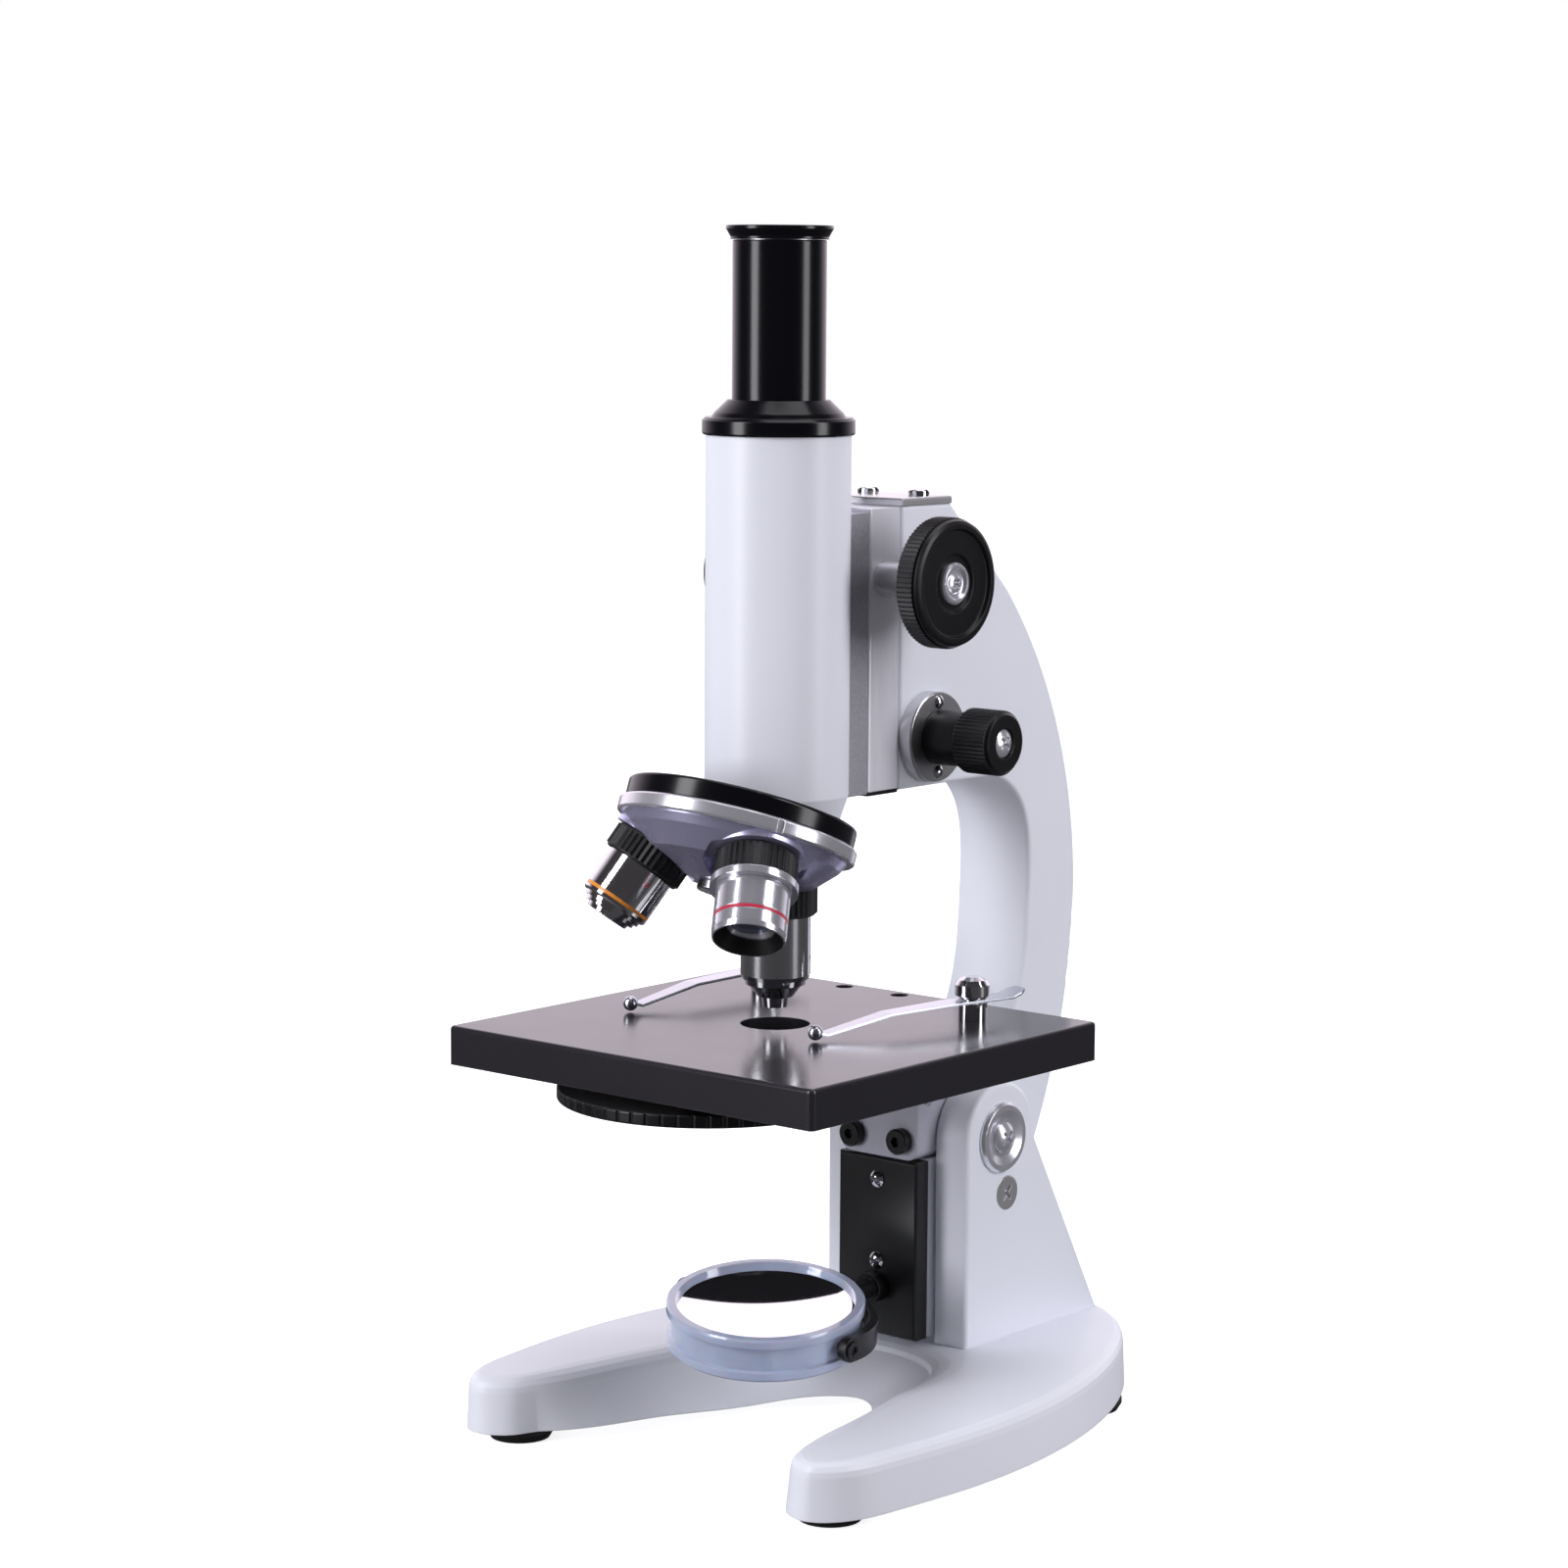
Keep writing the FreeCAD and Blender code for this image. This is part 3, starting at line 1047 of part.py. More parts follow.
def turret_bowl():
    """Shallow bowl under the rim, with a boss and a bore for each objective and one for the axle."""
    high = -TURRET_TOP_S
    low = BOWL_LOW
    neck = RIM_R - RIM_WALL - SEAT
    body = turned([(0, high), (neck, high), (neck, RIM_LOW), (BOWL_R, RIM_LOW), (BOWL_R - 1.5, RIM_LOW - 2.5),
                   (BOWL_R - 7.0, RIM_LOW - 8.0), (AXLE_HEAD_R + 5, low), (0, low)])
    body = on_nosepiece(body)
    under_rim = on_nosepiece(block(-BASE_HALF, BASE_HALF, -BASE_HALF, BASE_HALF, -FACE_T - BOSS_L, RIM_LOW))
    for station in range(STATIONS):
        boss = disc(BOSS_R, -FACE_T, -FACE_T + BOSS_L)
        body = body.fuse(on_objective(boss, station).common(under_rim))
    for station in range(STATIONS):
        bore = disc(THREAD_R + SEAT, -FACE_T - PAST, -DISC_TOP_S)
        spot_face = disc(BOSS_R + 1.5, -FACE_T - BOSS_R, -FACE_T)
        body = body.cut(on_objective(bore.fuse(spot_face), station))
    body = body.cut(on_nosepiece(disc(AXLE_R + FIT, low - PAST, -DISC_TOP_S)))
    return body.removeSplitter()


def turret_axle():
    low = BOWL_LOW - GAP
    screw = screw_z(AXLE_R, AXLE_HEAD_R, AXLE_HEAD_H, -DISC_TOP_S - low, slot=1.2)
    screw.rotate(vec(0, 0, 0), X_AXIS, 180)
    screw.translate(vec(0, 0, low))
    return on_nosepiece(screw)


def objective_barrel(sections, bore):
    """Turned barrel: outer steps (radius, radius, length) down from the shoulder to the tip, and
    inner points (radius, height over the tip), the last of which is the radius of the bore."""
    outer = [(THREAD_R, -FACE_T + THREAD_L), (THREAD_R, -FACE_T)]
    z = -FACE_T
    for r0, r1, length in sections:
        outer.append((r0, z))
        z -= length
        outer.append((r1, z))
    inner = [(r, z + height) for r, height in bore]
    inner.append((bore[-1][0], -FACE_T + THREAD_L))
    return turned(outer + inner), z


def ring(r0, r1, z0, z1):
    return disc(r1, z0, z1).cut(disc(r0, z0 - PAST, z1 + PAST))


def objective_grip(r, length):
    """Black ring with coarse upright ribs and a plain edge, from the shoulder down."""
    low = -FACE_T - length
    high = -FACE_T
    plain = r - GRIP_RIB
    ribs = knurled(r, GRIP_RIB, GRIP_TEETH, length - 2 * GRIP_EDGE)
    ribs.translate(vec(0, 0, low + GRIP_EDGE))
    edge = turned([(0, low), (plain - 0.4, low), (plain, low + 0.4), (plain, high - 0.4), (plain - 0.4, high),
                   (0, high)])
    return ribs.fuse(edge).cut(disc(CORE_R + SEAT, low - PAST, high + PAST)).removeSplitter()


def front_lens(r, low):
    return disc(r - SEAT, low, low + FRONT_LENS_T)


def band_groove(r, z):
    """Groove turned into a barrel of radius r for its colour band, from the height z up."""
    return ring(r - BAND_DEEP, r + PAST, z, z + BAND_H)


def colour_band(r, z):
    return ring(r - BAND_DEEP + SEAT, r, z + SEAT, z + BAND_H - SEAT)


def high_power():
    """40x in use: long barrel, knurled black grip and a stepped cone at the tip."""
    grip_l = 9.4
    lens_r = 2.4
    steps = [(CORE_R, CORE_R, grip_l), (9.6, 9.6, 16.5), (9.6, 9.2, 1.2), (8.6, 8.3, 1.6), (7.6, 5.0, 3.4),
             (3.9, 3.5, 2.9)]
    bore = [(lens_r, 0), (lens_r, 1.4), (1.9, 1.4), (1.9, 3.4), (4.0, 3.4)]
    body, tip = objective_barrel(steps, bore)
    pieces = {"barrel": body, "grip": objective_grip(11.5, grip_l), "lens": front_lens(lens_r, tip + 0.2)}
    save_objective("objective_40x", 0, pieces)


def middle_power():
    """10x on the left: barrel with an orange band near its stepped tip."""
    grip_l = 7.4
    barrel_r = 9.75
    lens_r = 3.6
    band_z = -FACE_T - grip_l - 11.5
    steps = [(CORE_R, CORE_R, grip_l), (barrel_r, barrel_r, 12.3), (barrel_r, 9.3, 0.6), (8.6, 8.4, 1.1),
             (7.6, 7.4, 1.1), (6.4, 6.0, 1.2)]
    body, tip = objective_barrel(steps, [(lens_r, 0), (lens_r, 1.4), (4.2, 3.4)])
    pieces = {"barrel": body.cut(band_groove(barrel_r, band_z)), "grip": objective_grip(11.65, grip_l),
              "band": colour_band(barrel_r, band_z), "lens": front_lens(lens_r, tip + 0.2)}
    save_objective("objective_10x", 1, pieces)


def low_power():
    """4x at the front: flange, red band and a wide cone-shaped hood with its lens deep inside."""
    grip_l = 8.0
    barrel_r = 10.0
    lens_r = 5.4
    hood = 4.6
    band_z = -FACE_T - grip_l - 11.6
    steps = [(CORE_R, CORE_R, grip_l), (11.85, 11.85, 2.2), (barrel_r, barrel_r, 12.8), (barrel_r, 9.7, 1.5)]
    body, tip = objective_barrel(steps, [(9.3, 0), (lens_r, hood), (lens_r, hood + 1.4), (4.6, hood + 1.4)])
    pieces = {"barrel": body.cut(band_groove(barrel_r, band_z)), "grip": objective_grip(11.15, grip_l),
              "band": colour_band(barrel_r, band_z), "lens": front_lens(lens_r, tip + hood + 0.2)}
    save_objective("objective_4x", 2, pieces)


def save_objective(name, station, pieces):
    for part, shape in pieces.items():
        save(name + "_" + part, on_objective(shape, station))


# --- mirror ----------------------------------------------------------------------------
def on_fork(shape):
    """Fork pieces are made about the mirror's centre, with the stem on +Y and the pins on X."""
    return placed(shape, turn(Y_AXIS, FORK_ROLL, 0, MIRROR_Y, MIRROR_Z))


def on_mirror(shape):
    """Mirror pieces are made about Z at the mirror's centre, hollow side up."""
    return on_fork(placed(shape, turn(X_AXIS, MIRROR_TILT)))


def mirror_ring():
    half = MIRROR_T / 2
    inner = MIRROR_R - MIRROR_WALL
    floor = MIRROR_R - GROOVE_D
    groove = half - FLANGE_T
    lip = inner - 0.8
    shelf = half - GLASS_DEEP - GLASS_T
    body = turned([(inner, -half), (MIRROR_R - 0.5, -half), (MIRROR_R, -half + 0.5),
                   (MIRROR_R, -groove - 0.4), (floor, -groove), (floor, groove), (MIRROR_R, groove + 0.4),
                   (MIRROR_R, half - 0.5), (MIRROR_R - 0.5, half), (inner, half), (inner, shelf),
                   (lip, shelf), (lip, -shelf), (inner, -shelf)])
    pin_hole = rod_x(MIRROR_PIN_R + FIT, -MIRROR_R - PAST, MIRROR_R + PAST, 0, 0)
    return on_mirror(body.cut(pin_hole).removeSplitter())


def mirror_flat():
    low = GLASS_DEEP - MIRROR_T / 2
    return on_mirror(disc(GLASS_R, low, low + GLASS_T))


def mirror_concave():
    """Glass with a hollow ground into its upper face, up to a flat rim 1 mm wide."""
    top = MIRROR_T / 2 - GLASS_DEEP
    centre = top + math.sqrt(CONCAVE_R ** 2 - (GLASS_R - 1.0) ** 2)
    hollow = Part.makeSphere(CONCAVE_R, vec(0, 0, centre))
    return on_mirror(disc(GLASS_R, top - GLASS_T, top).cut(hollow))


def fork_inner():
    """Inner radius of the fork, clear of the ring's corners when the mirror turns right over."""
    return math.hypot(MIRROR_R, MIRROR_T / 2) + GAP


def mirror_fork():
    """Half ring behind the mirror, with a pivot pin in each end and a stem into the plate."""
    inner = fork_inner()
    outer = inner + FORK_T
    band = disc(outer, -FORK_W / 2, FORK_W / 2).cut(disc(inner, -FORK_W, FORK_W))
    band = band.cut(block(-outer, outer, -outer, 0, -FORK_W, FORK_W))
    pin_start = MIRROR_R - MIRROR_WALL + GAP
    end = rod_x(FORK_W / 2, inner, outer, 0, 0).fuse(rod_x(MIRROR_PIN_R, pin_start, inner + SEAT, 0, 0))
    plate = PLATE_FRONT - MIRROR_Y
    hub = rod_y(FORK_HUB_R, plate - GAP - FORK_HUB_T, plate - GAP, 0, 0)
    stem = rod_y(FORK_STEM_R, inner + FORK_T / 2, TAIL_FRONT - GAP - MIRROR_Y, 0, 0)
    body = band.fuse([end, mirrored(end), hub, stem])
    return on_fork(body.removeSplitter())


def write_all():
    save("base_casting", base_casting())
    save("rubber_feet", rubber_feet())
    save("pivot_pin", pivot_pin())
    save("pivot_washers", pivot_washers())
    save("pivot_screws", pivot_screws())
    save("stop_screws", stop_screws())
    save("arm_casting", arm_casting())
    save("head_cover", head_cover())
    save("cover_screws", cover_screws())
    save("fine_rail", fine_rail())
    save("fine_flange", fine_flange())
    save("fine_flange_screws", fine_flange_screws())
    save("stage_bracket", stage_bracket())
    save("bracket_screws", bracket_screws())
    save("bracket_side_screws", bracket_side_screws())
    save("mirror_plate", mirror_plate())
    save("plate_screws", plate_screws())
    save("stage_plate", stage_plate())
    save("diaphragm_disc", diaphragm_disc())
    save("diaphragm_screw", diaphragm_screw())
    save("clip_studs", clip_studs())
    save("clip_right", clip(-CLIP_TURN["right"]))
    save("clip_left", mirrored(clip(CLIP_TURN["left"])))
    save("tube_slide", tube_slide())
    save("focus_block", focus_block())
    save("block_end_plate", block_end_plate())
    save("pinion_bushes", pinion_bushes())
    save("pinion_shaft", pinion_shaft())
    save("coarse_knob_right", coarse_knob())
    save("coarse_knob_left", mirrored(coarse_knob()))
    save("coarse_knob_screws", coarse_knob_screws())
    save("fine_shaft", fine_shaft())
    save("fine_knob", fine_knob())
    save("fine_knob_screw", fine_knob_screw())
    save("body_tube", body_tube())
    save("tube_collar", tube_collar())
    save("draw_tube", draw_tube())
    save("eye_cap", eye_cap())
    save("eyepiece_barrel", eyepiece_barrel())
    save("eye_lens", eye_lens())
    save("field_lens", field_lens())
    save("nosepiece_base", nosepiece_base())
    save("turret_rim", turret_rim())
    save("turret_bowl", turret_bowl())
    save("turret_axle", turret_axle())
    high_power()
    middle_power()
    low_power()
    save("mirror_ring", mirror_ring())
    save("mirror_flat", mirror_flat())
    save("mirror_concave", mirror_concave())
    save("mirror_fork", mirror_fork())


os.makedirs("parts", exist_ok=True)
write_all()
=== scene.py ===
"""Student microscope: finishes, small fittings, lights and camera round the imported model."""
import json
import math

import bpy
from mathutils import Matrix, Vector


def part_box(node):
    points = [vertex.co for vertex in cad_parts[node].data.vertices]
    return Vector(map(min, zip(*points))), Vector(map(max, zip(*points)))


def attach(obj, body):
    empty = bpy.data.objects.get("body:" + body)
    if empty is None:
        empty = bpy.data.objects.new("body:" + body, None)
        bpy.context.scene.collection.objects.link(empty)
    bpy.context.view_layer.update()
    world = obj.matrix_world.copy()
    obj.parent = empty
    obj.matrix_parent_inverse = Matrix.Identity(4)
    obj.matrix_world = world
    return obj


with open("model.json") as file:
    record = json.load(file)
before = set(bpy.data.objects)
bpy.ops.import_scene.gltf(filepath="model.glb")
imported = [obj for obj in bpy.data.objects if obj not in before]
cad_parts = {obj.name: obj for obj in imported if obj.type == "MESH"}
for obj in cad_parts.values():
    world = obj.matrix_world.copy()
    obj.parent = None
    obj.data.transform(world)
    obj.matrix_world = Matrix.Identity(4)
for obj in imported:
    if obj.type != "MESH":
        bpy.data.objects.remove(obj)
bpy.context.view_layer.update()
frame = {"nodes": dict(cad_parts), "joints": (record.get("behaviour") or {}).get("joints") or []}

MM = 0.001
MICRON = 0.000001
bpy.ops.object.select_all(action="DESELECT")
nodes = frame["nodes"]
scene = bpy.context.scene

CAMERA_AZIMUTH = math.radians(40.0)
CAMERA_PITCH = math.radians(7.4)
CAMERA_ROLL = math.radians(0.37)
CAMERA_PLACE = Vector((0.6815, -0.8090, 0.3219))    # from the foot of the tube's axis
SENSOR_WIDTH = 36.0
FOCAL_LENGTH = 89.72

# Lights, floor and room
COOL = (0.965, 0.955, 1.0)
STRIP_HEIGHT = Vector((0, 0, 0.62))
LEFT_ANGLE, LEFT_SIZE, LEFT_POWER = -62, (0.46, 1.7), 24.0
RIGHT_ANGLE, RIGHT_SIZE, RIGHT_POWER = 68, (0.42, 1.7), 16.0
LEFT_AIM, RIGHT_AIM = 0.25, 0.2      # heights on the object
STRIP_DISTANCE = 1.4
OVERHEAD_PLACE, OVERHEAD_AIM = (0.1, 0.2, 1.9), (0, 0, 0.1)
OVERHEAD_SIZE, OVERHEAD_POWER = (1.2, 1.2), 10.0
FLOOR_SIZE = 12.0
FLOOR_GLOW = 0.78            # as the camera sees it
FLOOR_BOUNCE = 0.23          # as it lights the underside
FLOOR_MIRRORED = 0.03        # as chrome and gloss black mirror it
ROOM_BRIGHT = 1.2            # behind the object
ROOM_DARK = 0.16             # towards the camera, as it lights paint
ROOM_MIRRORED = 0.05         # the same side, as metal mirrors it

# Turned pieces: how each one's lathe axis is laid on Z
ACROSS = (0, math.radians(-90), 0)                  # it runs along X
TURRET_TILT = math.radians(21.0)

# Small fittings
DOWN = (0, 0, -1)
EDGE_ROUND = 0.4 * MM
SHADE_ANGLE = math.radians(35)
SLIDE_SCREW_GAP = 1.73 * MM      # from the back of the body tube to the slide's screw
SLIDE_SCREW_R = 1.65 * MM
BLOCK_SCREW_R = 2.3 * MM
BLOCK_SCREW_SHARE = 0.6          # how far back on the end plate the screw is
SCREW_HEAD_H = 1.25 * MM
SCREW_RIM_SHARE = 0.5            # of a screw head's radius, round its socket
SCREW_SOCKET_SHARE = 0.6         # of its height
SCREW_ROUND_SHARE = 0.18         # of its height
FORK_REACH = 31.17 * MM          # from the mirror's centre to the outside of the fork's ends
PIVOT_HEAD_R = 2.5 * MM
PIVOT_HEAD_H = 1.3 * MM
CROSSING_Z = 216.0 * MM          # where the nosepiece's axis crosses the optical axis
LOW_POWER_STATION = math.radians(240.0)
HOOD_TIP = 82.5 * MM             # the 4x objective's front edge, along its own axis from there
HOOD_DEEP = 4.55 * MM
HOOD_WIDE = 9.24 * MM
HOOD_NARROW = 5.46 * MM
HOOD_LINING = 0.12 * MM


# --- shared effects ----------------------------------------------------------------------
def new_group(name, inputs, outputs):
    group = bpy.data.node_groups.new(name, "ShaderNodeTree")
    for label, kind, value in inputs:
        socket = group.interface.new_socket(label, in_out="INPUT", socket_type=kind)
        socket.default_value = value
    for label, kind in outputs:
        group.interface.new_socket(label, in_out="OUTPUT", socket_type=kind)
    start = group.nodes.new("NodeGroupInput")
    end = group.nodes.new("NodeGroupOutput")
    return group, start, end


def add(tree, kind, **settings):
    node = tree.nodes.new(kind)
    for key, value in settings.items():
        setattr(node, key, value)
    return node


def feed(tree, source, socket):
    """Set a socket to a number or link it to another node's output."""
    if isinstance(source, (int, float)):
        socket.default_value = source
    else:
        tree.links.new(source, socket)


def maths(tree, operation, first, second, third=None, clamp=False):
    node = add(tree, "ShaderNodeMath", operation=operation, use_clamp=clamp)
    feed(tree, first, node.inputs[0])
    feed(tree, second, node.inputs[1])
    if third is not None:
        feed(tree, third, node.inputs[2])
    return node.outputs[0]


def noise(tree, vector, scale, detail=2.0, roughness=0.5):
    node = add(tree, "ShaderNodeTexNoise")
    node.inputs["Detail"].default_value = detail
    node.inputs["Roughness"].default_value = roughness
    feed(tree, scale, node.inputs["Scale"])
    tree.links.new(vector, node.inputs["Vector"])
    return node.outputs["Fac"]


def spread(tree, value, low, high):
    """Map a 0 to 1 value onto low to high."""
    node = add(tree, "ShaderNodeMapRange")
    feed(tree, value, node.inputs["Value"])
    feed(tree, low, node.inputs["To Min"])
    feed(tree, high, node.inputs["To Max"])
    return node.outputs["Result"]


def tinted(tree, share, first, second, blend="MIX"):
    """Colour between two colours, each a tuple or another node's output."""
    node = add(tree, "ShaderNodeMixRGB", blend_type=blend)
    feed(tree, share, node.inputs["Fac"])
    for source, label in ((first, "Color1"), (second, "Color2")):
        if isinstance(source, tuple):
            node.inputs[label].default_value = (*source, 1)
        else:
            tree.links.new(source, node.inputs[label])
    return node.outputs["Color"]


def sprayed_skin():
    """Slight unevenness of sprayed paint: tone, gloss and a fine orange-peel height."""
    inputs = [("Vector", "NodeSocketVector", (0, 0, 0)), ("Peel Scale", "NodeSocketFloat", 700.0),
              ("Colour", "NodeSocketColor", (1, 1, 1, 1)), ("Tone", "NodeSocketFloat", 0.03),
              ("Gloss Low", "NodeSocketFloat", 0.2), ("Gloss High", "NodeSocketFloat", 0.3)]
    outputs = [("Colour", "NodeSocketColor"), ("Roughness", "NodeSocketFloat"),
               ("Height", "NodeSocketFloat")]
    group, start, end = new_group("sprayed_skin", inputs, outputs)
    place = start.outputs["Vector"]
    peel = noise(group, place, start.outputs["Peel Scale"], roughness=0.45)
    cloud = noise(group, place, 22.0, detail=3.0, roughness=0.55)
    speck = noise(group, place, 2400.0, detail=1.0)
    dull = maths(group, "SUBTRACT", 1.0, start.outputs["Tone"])
    shade = tinted(group, 1.0, start.outputs["Colour"], spread(group, cloud, dull, 1.0), "MULTIPLY")
    uneven = maths(group, "MULTIPLY_ADD", speck, 0.3, cloud)
    gloss = spread(group, uneven, start.outputs["Gloss Low"], start.outputs["Gloss High"])
    group.links.new(shade, end.inputs["Colour"])
    group.links.new(gloss, end.inputs["Roughness"])
    group.links.new(peel, end.inputs["Height"])
    return group


def lathe_rings():
    """Fine rings left by a lathe, along the Z of the vector it is given, with handling marks."""
    inputs = [("Vector", "NodeSocketVector", (0, 0, 0)), ("Ring Scale", "NodeSocketFloat", 3000.0),
              ("Gloss Low", "NodeSocketFloat", 0.1), ("Gloss High", "NodeSocketFloat", 0.25)]
    outputs = [("Roughness", "NodeSocketFloat"), ("Height", "NodeSocketFloat")]
    group, start, end = new_group("lathe_rings", inputs, outputs)
    stretch = add(group, "ShaderNodeVectorMath", operation="MULTIPLY")
    stretch.inputs[1].default_value = (0.04, 0.04, 1.0)
    group.links.new(start.outputs["Vector"], stretch.inputs[0])
    rings = noise(group, stretch.outputs["Vector"], start.outputs["Ring Scale"], roughness=0.6)
    smear = noise(group, start.outputs["Vector"], 90.0, detail=3.0, roughness=0.6)
    both = maths(group, "MULTIPLY_ADD", rings, 0.5, maths(group, "MULTIPLY", smear, 0.5))
    gloss = spread(group, both, start.outputs["Gloss Low"], start.outputs["Gloss High"])
    group.links.new(gloss, end.inputs["Roughness"])
    group.links.new(rings, end.inputs["Height"])
    return group


def fine_grain():
    """Fine grain of moulded or ground surfaces: two sizes of grain with tone to match."""
    inputs = [("Vector", "NodeSocketVector", (0, 0, 0)), ("Grain Scale", "NodeSocketFloat", 1500.0),
              ("Colour", "NodeSocketColor", (1, 1, 1, 1)), ("Tone", "NodeSocketFloat", 0.15),
              ("Gloss Low", "NodeSocketFloat", 0.4), ("Gloss High", "NodeSocketFloat", 0.6)]
    outputs = [("Colour", "NodeSocketColor"), ("Roughness", "NodeSocketFloat"),
               ("Height", "NodeSocketFloat")]
    group, start, end = new_group("fine_grain", inputs, outputs)
    grain = noise(group, start.outputs["Vector"], start.outputs["Grain Scale"], detail=4.0, roughness=0.65)
    patch = noise(group, start.outputs["Vector"], 60.0, detail=3.0, roughness=0.6)
    dull = maths(group, "SUBTRACT", 1.0, start.outputs["Tone"])
    shade = tinted(group, 1.0, start.outputs["Colour"], spread(group, grain, dull, 1.0), "MULTIPLY")
    gloss = spread(group, patch, start.outputs["Gloss Low"], start.outputs["Gloss High"])
    group.links.new(shade, end.inputs["Colour"])
    group.links.new(gloss, end.inputs["Roughness"])
    group.links.new(grain, end.inputs["Height"])
    return group


def rounded_edges_wear_and_highlight():
    """Softened edges: a normal that rounds each corner, and a patchy mask of where it does, which tints
    edges with wear and a painted edge highlight.
    """
    inputs = [("Vector", "NodeSocketVector", (0, 0, 0)), ("Radius", "NodeSocketFloat", EDGE_ROUND)]
    outputs = [("Mask", "NodeSocketFloat"), ("Normal", "NodeSocketVector")]
    group, start, end = new_group("rounded_edges_wear_and_highlight", inputs, outputs)
    rounded = add(group, "ShaderNodeBevel", samples=4)
    group.links.new(start.outputs["Radius"], rounded.inputs["Radius"])
    flat = add(group, "ShaderNodeNewGeometry")
    agree = add(group, "ShaderNodeVectorMath", operation="DOT_PRODUCT")
    group.links.new(rounded.outputs["Normal"], agree.inputs[0])
    group.links.new(flat.outputs["Normal"], agree.inputs[1])
    lean = maths(group, "SUBTRACT", 1.0, agree.outputs["Value"])
    cloud = noise(group, start.outputs["Vector"], 180.0, detail=3.0, roughness=0.6)
    strength = spread(group, cloud, 2.0, 7.0)
    group.links.new(maths(group, "MULTIPLY", lean, strength, clamp=True), end.inputs["Mask"])
    group.links.new(rounded.outputs["Normal"], end.inputs["Normal"])
    return group


SKIN = sprayed_skin()
RINGS = lathe_rings()
GRAIN = fine_grain()
EDGES = rounded_edges_wear_and_highlight()


# --- materials ---------------------------------------------------------------------------
def blank(name):
    """New material: itself, its nodes, its shader and the place on the piece."""
    material = bpy.data.materials.new(name)
    material.use_nodes = True
    tree = material.node_tree
    shader = tree.nodes["Principled BSDF"]
    place = add(tree, "ShaderNodeTexCoord").outputs["Object"]
    return material, tree, shader, place


def give_height(tree, shader, height, depth, normal=None):
    """Raise a height by a depth in metres, on the piece's own normal or the one given."""
    bump = add(tree, "ShaderNodeBump")
    bump.inputs["Distance"].default_value = depth
    tree.links.new(height, bump.inputs["Height"])
    if normal is not None:
        tree.links.new(normal, bump.inputs["Normal"])
    tree.links.new(bump.outputs["Normal"], shader.inputs["Normal"])


def placed_group(tree, group, place, **values):
    """Put a shared group in a material, fed with a place and with named values."""
    node = add(tree, "ShaderNodeGroup", node_tree=group)
    tree.links.new(place, node.inputs["Vector"])
    for label, value in values.items():
        node.inputs[label.replace("_", " ")].default_value = value
    return node


def surface(name, group, colour, gloss, tone, scale_label, scale, depth, edge_wear_and_highlight=None):
    """Painted or grained surface whose edges are rounded and take an edge colour that is partly wear and
    partly a painted highlight.
    """
    material, tree, shader, place = blank(name)
    values = {"Colour": (*colour, 1), "Tone": tone, scale_label: scale,
              "Gloss_Low": gloss[0], "Gloss_High": gloss[1]}
    skin = placed_group(tree, group, place, **values)
    rim = placed_group(tree, EDGES, place, Radius=EDGE_ROUND)
    shade = skin.outputs["Colour"]
    # edge colour: partly rubbed wear, partly a painted highlight along each edge
    if edge_wear_and_highlight is not None:
        shade = tinted(tree, rim.outputs["Mask"], shade, edge_wear_and_highlight)
    tree.links.new(shade, shader.inputs["Base Color"])
    tree.links.new(skin.outputs["Roughness"], shader.inputs["Roughness"])
    give_height(tree, shader, skin.outputs["Height"], depth, rim.outputs["Normal"])
    return material, shader


def painted(name, colour, gloss, tone=0.04, peel=650.0, depth=10 * MICRON, coat=0.0, edge_wear_and_highlight=None, shine=0.5):
    material, shader = surface(name, SKIN, colour, gloss, tone, "Peel_Scale", peel, depth, edge_wear_and_highlight)
    shader.inputs["Specular IOR Level"].default_value = shine
    shader.inputs["Coat Weight"].default_value = coat
    shader.inputs["Coat Roughness"].default_value = 0.12
    return material


def grained(name, colour, gloss, tone, grain, depth, metal=0.0, edge_wear_and_highlight=None, shine=0.5):
    material, shader = surface(name, GRAIN, colour, gloss, tone, "Grain_Scale", grain, depth, edge_wear_and_highlight)
    shader.inputs["Specular IOR Level"].default_value = shine
    shader.inputs["Metallic"].default_value = metal
    return material


def turned_metal(name, colour, gloss, ring, depth, lay=None):
    """Metal turned on a lathe. lay is the turn that lays the lathe's axis on Z."""
    material, tree, shader, place = blank(name)
    if lay is not None:
        axis = add(tree, "ShaderNodeMapping")
        axis.inputs["Rotation"].default_value = lay
        tree.links.new(place, axis.inputs["Vector"])
        place = axis.outputs["Vector"]
    rings = placed_group(tree, RINGS, place, Ring_Scale=ring, Gloss_Low=gloss[0], Gloss_High=gloss[1])
    dull = tuple(0.9 * part for part in colour)
    tree.links.new(tinted(tree, rings.outputs["Height"], dull, colour), shader.inputs["Base Color"])
    tree.links.new(rings.outputs["Roughness"], shader.inputs["Roughness"])
    give_height(tree, shader, rings.outputs["Height"], depth)
    shader.inputs["Metallic"].default_value = 1.0
    return material


def ground_face(name, colour, gloss):
    """Flat ground with an abrasive wheel up and down: fine upright strokes."""
    material, tree, shader, place = blank(name)
    stroke = add(tree, "ShaderNodeMapping")
    stroke.inputs["Scale"].default_value = (1.0, 1.0, 0.02)
    tree.links.new(place, stroke.inputs["Vector"])
    lines = noise(tree, stroke.outputs["Vector"], 3200.0, detail=3.0, roughness=0.7)
    dull = tuple(0.82 * part for part in colour)
    tree.links.new(tinted(tree, lines, dull, colour), shader.inputs["Base Color"])
    tree.links.new(spread(tree, lines, *gloss), shader.inputs["Roughness"])
    rim = placed_group(tree, EDGES, place, Radius=EDGE_ROUND)
    give_height(tree, shader, lines, 6 * MICRON, rim.outputs["Normal"])
    shader.inputs["Metallic"].default_value = 0.30
    return material


